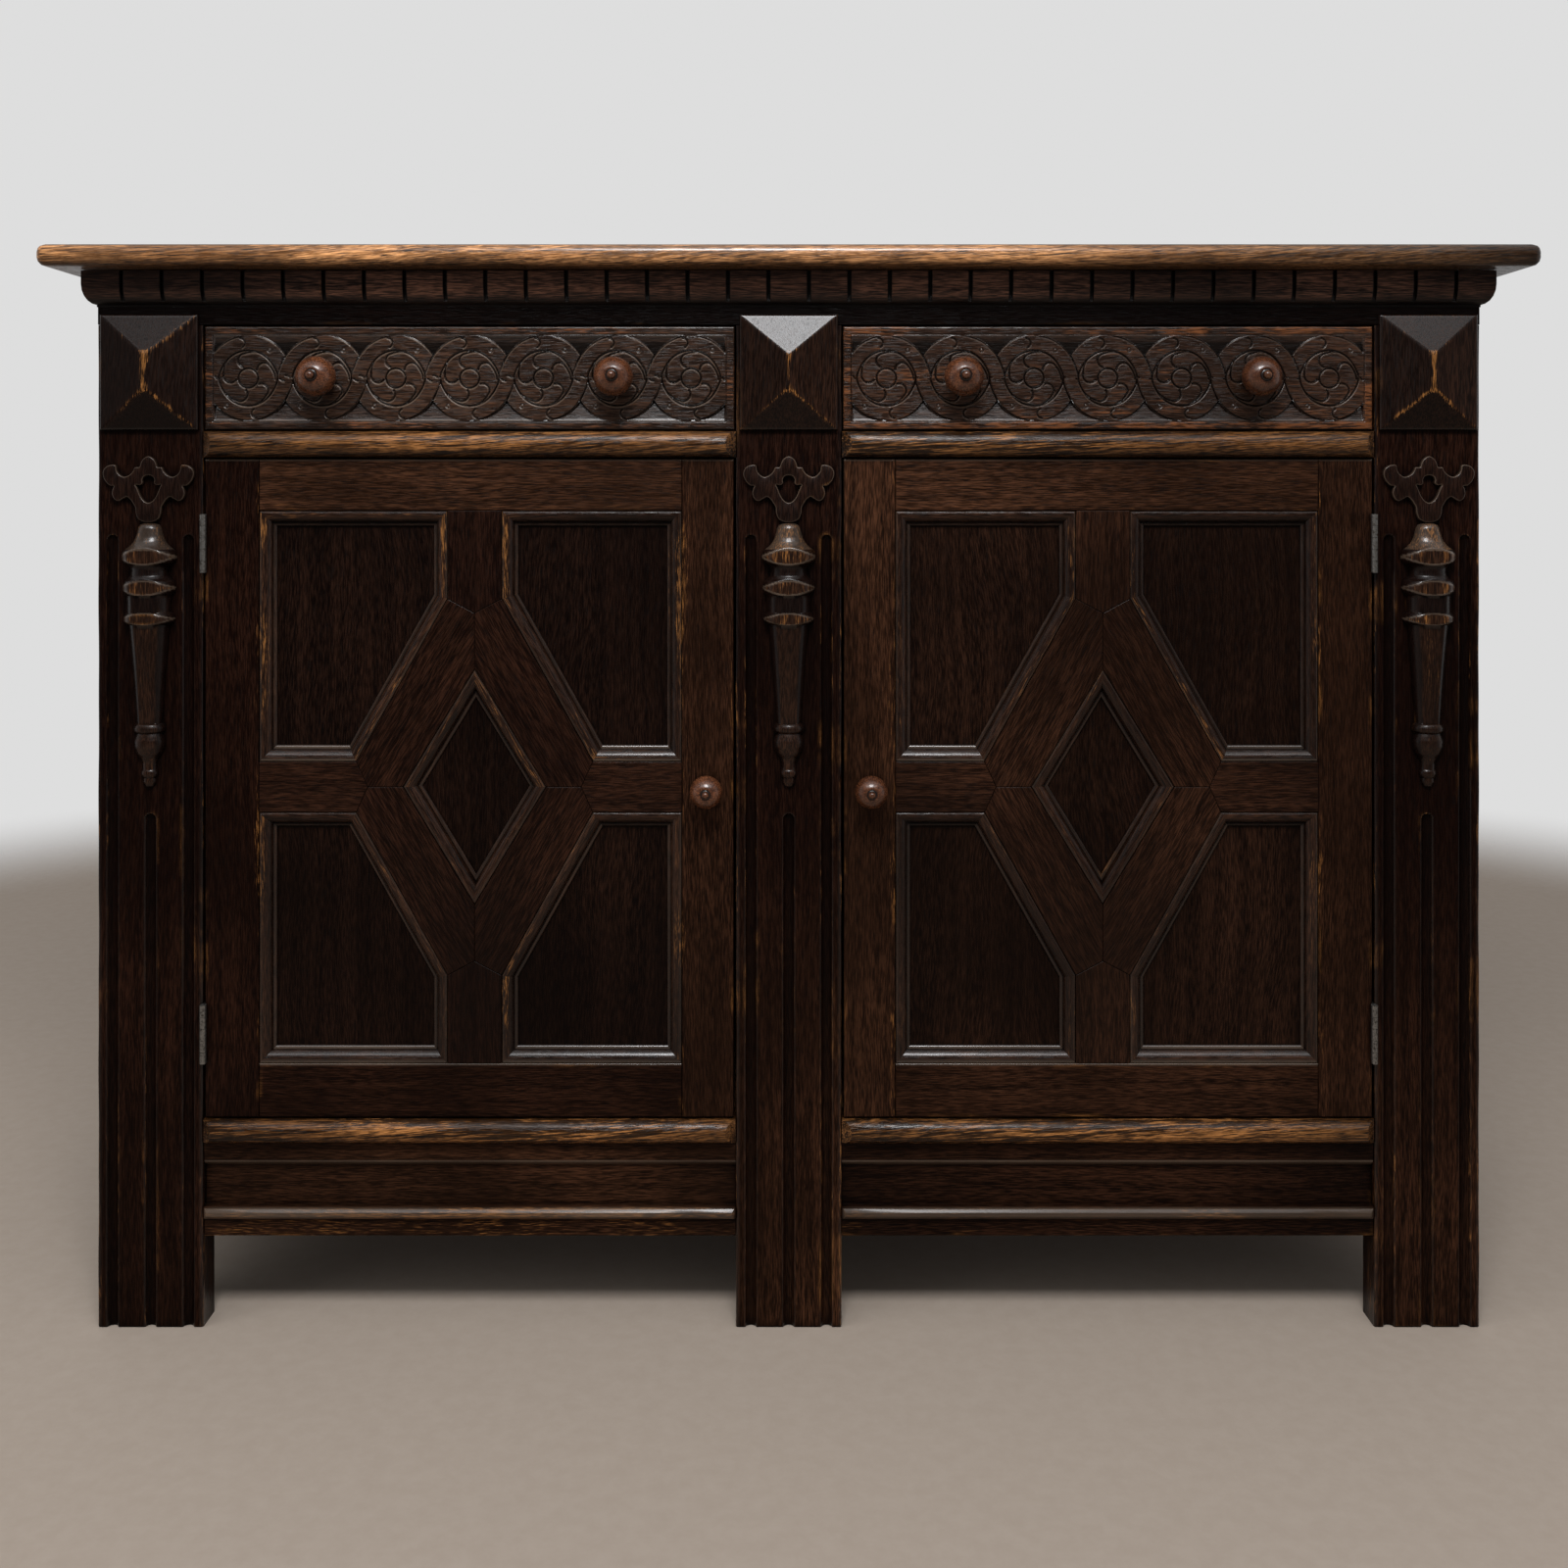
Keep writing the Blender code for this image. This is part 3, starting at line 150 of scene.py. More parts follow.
def oak_figure_group():
    """Oak's figure along Z: long streaks, fine fibres and short open pores, wandering a little."""
    tree, given, out = new_group(
        "oak_figure",
        [("Vector", "Vector", None), ("Wander", "Float", 0.02)],
        [("Streak", "Float"), ("Fibre", "Float"), ("Pore", "Float"), ("Slash", "Float"), ("Height", "Float")])
    parts = add_node(tree, "SeparateXYZ", {0: given["Vector"]}).outputs
    sway = drawn_out(tree, given["Vector"], across=7.0, along=3.0, detail=2.0)
    swing = reckon(tree, "MULTIPLY", reckon(tree, "SUBTRACT", sway, 0.5), given["Wander"])
    flowing = add_node(tree, "CombineXYZ", {0: reckon(tree, "ADD", parts[0], swing), 1: parts[1], 2: parts[2]})
    flowing = flowing.outputs[0]
    streak = drawn_out(tree, flowing, across=150.0, along=5.0, detail=3.0, roughness=0.6)
    streak = ramp(tree, streak, low=0.36, high=0.66)
    fibre = drawn_out(tree, flowing, across=1100.0, along=80.0, detail=2.0, roughness=0.6)
    fibre = ramp(tree, fibre, low=0.36, high=0.66)
    pore = ramp(tree, drawn_out(tree, flowing, across=1300.0, along=60.0, detail=1.0), low=0.56, high=0.66)
    crowd = drawn_out(tree, flowing, across=22.0, along=5.0, detail=2.0)
    crowd = ramp(tree, crowd, low=0.34, high=0.66, to_low=-0.09, to_high=0.09)
    slash = drawn_out(tree, flowing, across=520.0, along=22.0, detail=3.0, roughness=0.62)
    slash = ramp(tree, reckon(tree, "ADD", slash, crowd), low=0.465, high=0.535)
    height = reckon(tree, "SUBTRACT", reckon(tree, "MULTIPLY", fibre, FIBRE_RELIEF), pore)
    marks = (("Streak", streak), ("Fibre", fibre), ("Pore", pore), ("Slash", slash), ("Height", height))
    for socket, value in marks:
        tree.links.new(value, out[socket])
    return tree


SHADE_SAMPLES = 4
# The patches' level at which rubbing starts, how far more rubbing lowers it, and how softly it sets in
RUB_START = 0.80
RUB_PULL = 0.62
RUB_SOFT = 0.16


def rubbed_edge_group():
    """Where hands and dusters have rubbed the stain off: the outer corners of a piece, in patches."""
    tree, given, out = new_group(
        "rubbed_edge",
        [("Vector", "Vector", None), ("Reach", "Float", 0.004), ("Patch", "Float", 0.5)],
        [("Mask", "Float")])
    corner = add_node(tree, "AmbientOcclusion", {"Distance": given["Reach"]}, inside=True, only_local=True,
                      samples=SHADE_SAMPLES)
    open_share = reckon(tree, "SUBTRACT", 1.0, corner.outputs["AO"])
    strong = ramp(tree, open_share, low=0.10, high=0.42)
    patches = noise(tree, given["Vector"], scale=14.0, detail=4.0, roughness=0.6)
    low = reckon(tree, "SUBTRACT", RUB_START, reckon(tree, "MULTIPLY", given["Patch"], RUB_PULL))
    kept = ramp(tree, patches, low, reckon(tree, "ADD", low, RUB_SOFT))
    tree.links.new(reckon(tree, "MULTIPLY", strong, kept), out["Mask"])
    return tree


def grime_and_shade_group():
    """Old wax and dirt in the hollows, with painted shade: darker where the surroundings close in."""
    tree, given, out = new_group("hollow_grime_and_shade", [("Reach", "Float", 0.012)], [("Mask", "Float")])
    shut = add_node(tree, "AmbientOcclusion", {"Distance": given["Reach"]}, samples=SHADE_SAMPLES)
    tree.links.new(ramp(tree, shut.outputs["AO"], low=0.90, high=0.40), out["Mask"])
    return tree


# What the streaks, the fibres and the blotches each give to the pattern of bare wood
GRAIN_PARTS = (0.22, 0.43, 0.35)
# The pattern's level at which bare wood starts, how softly it sets in, and how soon a share counts in full
BARE_START = 0.84
BARE_SOFT = 0.36
BARE_ONSET = 8.0


def worn_streak_group():
    """Bare streaks along the grain, as many as a painted share asks for."""
    tree, given, out = new_group(
        "worn_streak",
        [("Share", "Float", 0.0), ("Streak", "Float", 0.0), ("Fibre", "Float", 0.0),
         ("Vector", "Vector", None)],
        [("Mask", "Float")])
    blotch = noise(tree, given["Vector"], scale=26.0, detail=3.0, roughness=0.6)
    patch = noise(tree, given["Vector"], scale=11.0, detail=2.0)
    patch = ramp(tree, patch, low=0.36, high=0.64, to_low=0.45, to_high=1.25)
    share = reckon(tree, "MULTIPLY", given["Share"], patch)
    streak_part, fibre_part, blotch_part = GRAIN_PARTS
    grain = reckon(tree, "MULTIPLY", given["Streak"], streak_part)
    grain = reckon(tree, "ADD", grain, reckon(tree, "MULTIPLY", given["Fibre"], fibre_part))
    grain = reckon(tree, "ADD", grain, reckon(tree, "MULTIPLY", blotch, blotch_part))
    low = reckon(tree, "SUBTRACT", BARE_START, share)
    bare = ramp(tree, grain, low, reckon(tree, "ADD", low, BARE_SOFT))
    present = reckon(tree, "MULTIPLY", given["Share"], BARE_ONSET, clamp=True)
    tree.links.new(reckon(tree, "MULTIPLY", bare, present), out["Mask"])
    return tree


OAK_FIGURE = oak_figure_group()
RUBBED_EDGE = rubbed_edge_group()
HOLLOW_GRIME_AND_SHADE = grime_and_shade_group()
WORN_STREAK = worn_streak_group()

BRACE_LEAN = math.radians(29.2)
GRAINS = {"upright": (0.0, 0.0, 0.0), "level": (0.0, math.pi / 2, 0.0), "inward": (math.pi / 2, 0.0, 0.0),
          "rising": (0.0, -BRACE_LEAN, 0.0), "falling": (0.0, BRACE_LEAN, 0.0),
          "slanting": (0.10, math.pi / 2 + 0.07, 0.05)}

GOLDEN = (0.205, 0.084, 0.022)
ORANGE = (0.120, 0.040, 0.012)
RUSSET = (0.080, 0.032, 0.015)
# The black of the wax in the pores, also the colour of painted shade and soot
BLACK_WAX_AND_SHADE = (0.0012, 0.0006, 0.0005)
# The pale tone of painted highlights along rims and arrises
RIM_HIGHLIGHT_TONE = (0.105, 0.072, 0.050)

# Each finish: its deep and lively stain, its bare wood, and how much it is rubbed, grained and polished
PLAIN = {"deep": (0.0030, 0.0009, 0.0005), "lively": (0.022, 0.0076, 0.0040), "bare": GOLDEN, "rubbed": 0.42,
         "reach": 0.004, "roughness": 0.36, "gloss": 0.05, "pores": 0.6, "grime_and_shade": 0.75, "dirt_and_shade_reach": 0.012,
         "bump": 0.30, "wander": 0.02, "streaky": 0.30, "slashed": 0.0}
FINISHES = {
    "frame": {},
    "lattice": {"rubbed": 0.18},
    "moulded": {"deep": (0.0046, 0.0018, 0.0011), "lively": (0.036, 0.0150, 0.0080), "rubbed": 0.22,
                "reach": 0.003, "roughness": 0.27, "gloss": 0.17},
    "side": {"bare": ORANGE, "rubbed": 0.40},
    "panel": {"deep": (0.0018, 0.0007, 0.0005), "lively": (0.015, 0.0060, 0.0034), "bare": ORANGE,
              "rubbed": 0.2, "gloss": 0.06, "dirt_and_shade_reach": 0.040, "wander": 0.07},
    "carved": {"deep": (0.0064, 0.0030, 0.0018), "lively": (0.050, 0.0232, 0.0122), "bare": ORANGE,
               "rubbed": 0.40, "reach": 0.0016, "roughness": 0.28, "gloss": 0.27, "grime_and_shade": 0.95,
               "dirt_and_shade_reach": 0.005},
    "nose": {"deep": (0.050, 0.0180, 0.0044), "lively": (0.500, 0.210, 0.062), "rubbed": 0.2,
             "roughness": 0.27, "gloss": 0.22, "pores": 0.9, "streaky": 0.45, "slashed": 0.93},
    "frieze": {"deep": (0.0110, 0.0044, 0.0027), "lively": (0.200, 0.0860, 0.0490), "bare": ORANGE,
               "gloss": 0.22},
    "top": {"deep": (0.190, 0.078, 0.0250), "lively": (0.900, 0.430, 0.170), "rubbed": 0.3, "reach": 0.008,
            "roughness": 0.30, "gloss": 0.30, "pores": 0.9, "streaky": 0.45, "slashed": 0.66},
    "table": {"deep": (0.022, 0.0085, 0.0036), "lively": (0.150, 0.0640, 0.0260), "rubbed": 0.3,
              "reach": 0.008, "roughness": 0.34, "gloss": 0.26, "streaky": 0.50, "slashed": 0.45},
    "ornament": {"deep": (0.0034, 0.0013, 0.0009), "lively": (0.018, 0.0074, 0.0046), "rubbed": 0.4,
                 "reach": 0.003, "roughness": 0.30, "gloss": 0.10, "bump": 0.0, "streaky": 0.15},
    "knob": {"deep": (0.030, 0.0092, 0.0038), "lively": (0.170, 0.058, 0.0230), "rubbed": 0.3,
             "roughness": 0.30, "gloss": 0.20, "grime_and_shade": 0.95, "dirt_and_shade_reach": 0.004, "bump": 0.05},
    "inner": {"deep": (0.085, 0.042, 0.018), "lively": (0.230, 0.125, 0.058), "bare": (0.30, 0.18, 0.09),
              "rubbed": 0.3, "roughness": 0.62, "gloss": 0.20, "pores": 0.35, "grime_and_shade": 0.35},
}

# How the grain's marks tone, roughen and raise the wood, and the wax that lies on it
FIBRE_TONE = 0.65
TONE_CONTRAST = 1.4
SLASH_DARK = 0.24
RUSSET_DARK = 0.12
BARE_DARK = 0.30
BARE_PALE = 1.15
FIBRE_ROUGH = 0.10
PORE_ROUGH = 0.20
GRAIN_RELIEF = 0.0004
WAX_ROUGHNESS = 0.20
WAX_IOR = 1.6


def toned(colour, share):
    """A colour made darker or paler by a share."""
    return tuple(share * part for part in colour)


def painted(tree, name):
    """A share painted on a piece's corners; it is nought on a piece without it."""
    return add_node(tree, "Attribute", attribute_name=name).outputs["Fac"]


def oak(finish, grain):
    """Stained oak in one finish, its grain running one way; made once and shared."""
    name = finish + "_oak_" + grain
    if name in bpy.data.materials:
        return bpy.data.materials[name]
    look = {**PLAIN, **FINISHES[finish]}
    material, tree, shader, place = new_material(name)
    turned = add_node(tree, "Mapping", {"Vector": place, "Rotation": GRAINS[grain]}).outputs[0]
    figure = add_node(tree, "Group", {"Vector": turned, "Wander": look["wander"]}, node_tree=OAK_FIGURE).outputs
    streak, fibre, pore, slash = (figure[key] for key in ("Streak", "Fibre", "Pore", "Slash"))
    edge = {"Vector": place, "Reach": look["reach"], "Patch": look["rubbed"]}
    edge = add_node(tree, "Group", edge, node_tree=RUBBED_EDGE).outputs["Mask"]
    dirt_and_shade = add_node(tree, "Group", {"Reach": look["dirt_and_shade_reach"]}, node_tree=HOLLOW_GRIME_AND_SHADE).outputs["Mask"]
    streaks = {"Share": painted(tree, "worn"), "Streak": streak, "Fibre": fibre, "Vector": place}
    streaks = add_node(tree, "Group", streaks, node_tree=WORN_STREAK).outputs["Mask"]
    bared = reckon(tree, "MAXIMUM", edge, streaks)
    drift = noise(tree, place, scale=4.5, detail=3.0)
    drift = ramp(tree, drift, low=0.32, high=0.68, to_low=0.30, to_high=1.20)
    tone = reckon(tree, "MULTIPLY", fibre, FIBRE_TONE)
    tone = reckon(tree, "ADD", reckon(tree, "MULTIPLY", streak, look["streaky"]), tone)
    tone = reckon(tree, "MULTIPLY", reckon(tree, "POWER", tone, TONE_CONTRAST), drift, clamp=True)
    stained = blend(tree, tone, look["deep"], look["lively"])
    if look["slashed"]:
        slashed = reckon(tree, "MULTIPLY", slash, look["slashed"])
        stained = blend(tree, slashed, stained, toned(look["deep"], SLASH_DARK))
    russet = blend(tree, tone, toned(RUSSET, RUSSET_DARK), RUSSET)
    stained = blend(tree, painted(tree, "russet"), stained, russet)
    bare = blend(tree, fibre, toned(look["bare"], BARE_DARK), toned(look["bare"], BARE_PALE))
    colour = blend(tree, bared, stained, bare)
    colour = blend(tree, reckon(tree, "MULTIPLY", pore, look["pores"]), colour, BLACK_WAX_AND_SHADE)
    # Wax grime and painted shade in the hollows, darkening toward black
    colour = blend(tree, reckon(tree, "MULTIPLY", dirt_and_shade, look["grime_and_shade"]), colour, BLACK_WAX_AND_SHADE)
    # Soot and painted shade, painted on a piece's corners
    colour = blend(tree, painted(tree, "sooty"), colour, BLACK_WAX_AND_SHADE)
    # Painted highlights along rims and arrises
    colour = blend(tree, reckon(tree, "MULTIPLY", painted(tree, "rimmed"), drift), colour, RIM_HIGHLIGHT_TONE)
    rough = reckon(tree, "MULTIPLY", fibre, FIBRE_ROUGH)
    rough = reckon(tree, "ADD", rough, look["roughness"] - FIBRE_ROUGH / 2)
    rough = reckon(tree, "ADD", rough, reckon(tree, "MULTIPLY", pore, PORE_ROUGH))
    relief = {"Height": figure["Height"], "Strength": look["bump"], "Distance": GRAIN_RELIEF}
    relief = add_node(tree, "Bump", relief).outputs[0]
    feed(tree, shader, {"Base Color": colour, "Roughness": rough, "Normal": relief,
                        "Specular IOR Level": look["gloss"], "Coat Weight": painted(tree, "polished"),
                        "Coat Roughness": WAX_ROUGHNESS, "Coat IOR": WAX_IOR})
    return material


STEEL = (0.22, 0.21, 0.195)
STEEL_SPOT = (0.045, 0.036, 0.028)


def tarnished_steel():
    """Old butt hinge steel, dull and spotted."""
    material, tree, shader, place = new_material("hinge_steel")
    spots = ramp(tree, noise(tree, place, scale=420.0, detail=4.0, roughness=0.65), low=0.40, high=0.70)
    feed(tree, shader, {"Base Color": blend(tree, spots, STEEL, STEEL_SPOT), "Metallic": 0.9,
                        "Roughness": ramp(tree, spots, low=0.0, high=1.0, to_low=0.36, to_high=0.62)})
    return material


HINGE_STEEL = tarnished_steel()


def finish_for(node):
    """The finish of a node that keeps its solid's shape."""
    slot = SLOT_OF[node]
    if slot == "hinge_steel":
        return HINGE_STEEL
    if slot == "moulding_oak":
        if "frieze" in node:
            return oak("frieze", "level" if "front" in node else "inward")
        return oak("nose", "slanting")
    if slot in ("panel_oak", "inner_oak"):
        return oak(slot.removesuffix("_oak"), "upright")
    if "side_panel" in node or "rear_post" in node:
        return oak("side", "upright")
    return oak("frame", "level" if node.endswith("_rail") else "upright")


def new_piece(name, mesh, material, node):
    """A piece that stands for one node of the solids and moves with its body."""
    mesh.materials.clear()
    mesh.materials.append(material)
    piece = bpy.data.objects.new(name, mesh)
    bpy.context.scene.collection.objects.link(piece)
    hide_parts(node)
    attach(piece, BODY_OF[node])
    return piece


def mesh_from(bm, name):
    """A mesh from a bmesh, which it uses up."""
    mesh = bpy.data.meshes.new(name)
    bm.to_mesh(mesh)
    bm.free()
    return mesh


def places_on(mesh):
    """The x, y and z of a mesh's corners."""
    return np.array([corner.co for corner in mesh.vertices], dtype=float).T


def smoothed(mesh, degrees=35.0):
    """Shades a mesh smooth, with its arrises kept sharp."""
    mesh.shade_smooth()
    mesh.set_sharp_from_angle(angle=math.radians(degrees))
    return mesh


def clean_copy(node):
    """The node's solid as a bmesh, with its corners joined and its flat faces whole."""
    bm = bmesh.new()
    bm.from_mesh(NODES[node].data)
    bmesh.ops.remove_doubles(bm, verts=bm.verts, dist=0.00002)
    bmesh.ops.dissolve_limit(bm, angle_limit=math.radians(0.6), verts=bm.verts, edges=bm.edges)
    return bm


def paint(mesh, **shares):
    """Paints shares on a mesh's corners, one value for all of them or one each."""
    for name, share in shares.items():
        layer = mesh.attributes.new(name, "FLOAT", "POINT")
        values = np.full(len(mesh.vertices), share) if np.isscalar(share) else np.asarray(share)
        layer.data.foreach_set("value", values.astype(np.float32))


def rising(value, low, high):
    """A share that rises from 0 at one value to 1 at another."""
    return np.clip((value - low) / (high - low), 0.0, 1.0)


def cut_through(bm, place, toward, **settings):
    """Cuts a piece through on a plane."""
    return bmesh.ops.bisect_plane(bm, geom=bm.verts[:] + bm.edges[:] + bm.faces[:], plane_co=place,
                                  plane_no=toward, **settings)


def cut_at(bm, places):
    """Cuts a piece across at some places along X, so that shares painted on its corners can change there."""
    for place in places:
        cut_through(bm, (place, 0.0, 0.0), (1.0, 0.0, 0.0))


CUTS_ALONG = 14


def cross_cut(bm, low_x, high_x):
    """Cuts a long piece across at even steps."""
    cut_at(bm, np.linspace(low_x, high_x, CUTS_ALONG + 1)[1:-1])


BEVEL_STEPS = 2


def ease_arrises(piece, width, degrees=32.0):
    """Takes the sharpness off a piece's arrises, where it turns by more than some degrees."""
    bevel = piece.modifiers.new("eased", "BEVEL")
    bevel.width = width
    bevel.segments = BEVEL_STEPS
    bevel.limit_method = "ANGLE"
    bevel.angle_limit = math.radians(degrees)
    bevel.harden_normals = True


# Rails with a rounded nose: the nose's height on each
NOSE_HEIGHT = {"_drawer_rail": 0.023, "_bottom_rail": 0.0195}
NOSED = {side + rail: height for side in SIDES for rail, height in NOSE_HEIGHT.items()}
# Heights over a bottom rail's underside: its fascia's lower arris with the lip above it, and its bead
FASCIA_FOOT = 0.0645
LIP_HEIGHT = 0.0016
LIP_REACH = 0.0004
BEAD = (0.0152, 0.0258)
BEAD_SETBACK = 0.0080
NOSE_LAP = 0.001
BAND_RUSSET = {"left": 0.85, "right": 0.36}
BEAD_WEAR_AND_HIGHLIGHT = {"left": 0.60, "right": 0.36}
BEAD_POLISH = 0.58
FOOT_WEAR = 0.5
LIP_HIGHLIGHT = 0.80
LIP_POLISH = 0.60


def dress_bottom_rail(node, mesh):
    """Stains a bottom rail below its nose, rubs its bead, and paints highlights on its bead and its fascia's
    lower lip.
    """
    low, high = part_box(node)
    side = node.split("_")[0]
    mesh.materials.append(oak("frame", "level"))
    nose_bottom = high.z - NOSED[node]
    x, y, z = places_on(mesh)
    heights = z - low.z
    bead = (y < low.y + BEAD_SETBACK) & (heights > BEAD[0]) & (heights < BEAD[1])
    lip = np.abs(heights - FASCIA_FOOT) < LIP_REACH
    foot = heights < BEAD[0]
    rubbed = BEAD_WEAR_AND_HIGHLIGHT[side]
    # The lip's and the bead's rim shares are painted highlights; the bead's share also sets its wear
    paint(mesh, russet=BAND_RUSSET[side] * (heights < nose_bottom + NOSE_LAP - low.z),
          worn=rubbed * (bead + FOOT_WEAR * foot), rimmed=LIP_HIGHLIGHT * lip + rubbed * bead,
          polished=BEAD_POLISH * rubbed * bead + LIP_POLISH * lip)
    for face in mesh.polygons:
        face.material_index = int(face.center.z < nose_bottom)


FRIEZE = "frieze_moulding_front"
GOUGE_WIDTH = 0.0030
GOUGE_PLAY = 0.0002
GOUGE_SHADE_REACH = 0.0024
FRIEZE_SHADE = (0.0045, 0.0130)
FRIEZE_SHADE_STRENGTH = 0.95
# Where the frieze begins to darken toward its ends, where it is darkest, and how dark
FRIEZE_ENDS = (0.20, 0.60)
FRIEZE_END_SOOT = 0.40


def gouge_places(bm):
    """The middles of the frieze's gouges, each between two upright walls."""
    walls = sorted({round(vert.co.x, 4) for vert in bm.verts})
    return [(left + right) / 2 for left, right in zip(walls, walls[1:])
            if abs(right - left - GOUGE_WIDTH) < GOUGE_PLAY]


def dress_frieze(mesh, gouges):
    """Paints shade on the frieze in and beside its gouges and toward its underside, and darkens it toward its
    ends.
    """
    x, y, z = places_on(mesh)
    low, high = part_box(FRIEZE)
    # Painted shade in and beside the gouges and under the moulding
    beside = np.min(np.abs(x[:, None] - np.array(gouges)), axis=1) < GOUGE_SHADE_REACH - GOUGE_PLAY
    shade = rising(z - low.z, *FRIEZE_SHADE[::-1])
    ends = rising(np.abs(x), *FRIEZE_ENDS)
    paint(mesh, sooty=np.maximum(FRIEZE_SHADE_STRENGTH * np.maximum(beside, shade), FRIEZE_END_SOOT * ends))


def eased(node, width):
    """The node's own shape with its arrises eased, as a scraper and years of use leave them."""
    bm = clean_copy(node)
    low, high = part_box(node)
    if node in NOSED:
        cross_cut(bm, low.x, high.x)
        cut_through(bm, (0.0, 0.0, low.z + FASCIA_FOOT + LIP_HEIGHT), (0.0, 0.0, 1.0))
    if node == FRIEZE:
        gouges = gouge_places(bm)
        cut_at(bm, [place + side * GOUGE_SHADE_REACH for place in gouges for side in (-1, 1)])
    mesh = mesh_from(bm, node + "_eased")
    piece = new_piece(node + "_eased", smoothed(mesh), finish_for(node), node)
    if node in NOSED and node.endswith("_bottom_rail"):
        dress_bottom_rail(node, mesh)
    if node == FRIEZE:
        dress_frieze(mesh, gouges)
    if width:
        ease_arrises(piece, width)


def sampled(low, high, step, round_width=0.0):
    """Places from low to high, closer together over a rounded corner at each end."""
    count = max(2, round((high - low - 2 * round_width) / step))
    middle = np.linspace(low + round_width, high - round_width, count + 1)
    if not round_width:
        return middle
    turn = round_width * (1 - np.cos(np.linspace(0.0, math.pi / 2, 6)[:-1]))
    return np.concatenate([low + turn, middle, (high - turn)[::-1]])


def corner_drop(distance, radius):
    """How far a rounded corner falls away, at a distance in from the edge."""
    inside = np.clip(radius - distance, 0.0, radius)
    return radius - np.sqrt(np.maximum(radius ** 2 - inside ** 2, 0.0))


def relief_board(name, xs, zs, front_y, back_y, depth):
    """A closed board whose front is carved back by depth, given at every place of a grid."""
    rows, columns = depth.shape
    grid_x, grid_z = np.meshgrid(xs, zs)
    front = np.stack([grid_x, front_y + depth, grid_z], axis=-1).reshape(-1, 3)
    back = [(xs[0], back_y, zs[0]), (xs[-1], back_y, zs[0]), (xs[-1], back_y, zs[-1]), (xs[0], back_y, zs[-1])]
    index = np.arange(rows * columns).reshape(rows, columns)
    quads = np.stack([index[:-1, :-1], index[:-1, 1:], index[1:, 1:], index[1:, :-1]], axis=-1).reshape(-1, 4)
    b0, b1, b2, b3 = (rows * columns + i for i in range(4))
    walls = [[b1, b0, b3, b2], [b0, b1, *index[0, ::-1]], [b1, b2, *index[::-1, -1]],
             [b2, b3, *index[-1, :]], [b3, b0, *index[:, 0]]]
    mesh = bpy.data.meshes.new(name)
    mesh.from_pydata([tuple(p) for p in front] + back, [], quads.tolist() + walls)
    mesh.update()
    return smoothed(mesh, 50.0)


def paint_front(mesh, **grids):
    """Paints shares given over a carved board's grid; the four corners of its back get none."""
    paint(mesh, **{name: np.append(grid, np.zeros(4)) for name, grid in grids.items()})


# Front posts
FLUTE_WIDTH = 0.0095
FLUTE_DEPTH = 0.0040
FLUTE_SPACING = 0.033
SIDE_FLUTE_TOP = 0.691
MIDDLE_FLUTE_TOP = 0.448
FLUTE_END_STEP = 0.0006
FLUTE_END_BELOW = 0.012
FLUTE_END_ABOVE = 0.004
FLUTE_LIP_WEAR = 0.28
FLUTE_LIP_REACH = 0.0014
FLUTE_SHADE = 0.40
FLUTE_SHADE_DEPTH = 0.0015
POST_FINE = 0.0007
POST_COARSE = 0.005
POST_CORNER = 0.0026
POST_FOOT = 0.002
# The waves along a post's worn corners: how deep, how close, and how much each post's differ
CORNER_WAVES = ((0.25, 31.0, 5.0), (0.2, 77.0, 11.0))
CORNER_PLAY = (0.55, 1.4)
CORNER_FULL = 1.45
CORNER_WEAR = 0.34
CORNER_REACH = 0.004
LIP_TO_POLISH = 1.6
LEAF_REVEAL = 0.0003
FOOT_REACH = 0.45
FOOT_RUSSET = {"left": 0.12, "centre": 0.70, "right": 0.45}


def flute_depth(x, z, centre, top):
    """The hollow of one round-ended flute that runs up from the foot."""
    radius = (FLUTE_WIDTH ** 2 / 4 + FLUTE_DEPTH ** 2) / (2 * FLUTE_DEPTH)
    past_end = np.maximum(z - (top - FLUTE_WIDTH / 2), 0.0)
    off = np.hypot(x - centre, past_end)
    hollow = np.sqrt(np.maximum(radius ** 2 - off ** 2, 0.0)) - (radius - FLUTE_DEPTH)
    return np.maximum(hollow, 0.0)


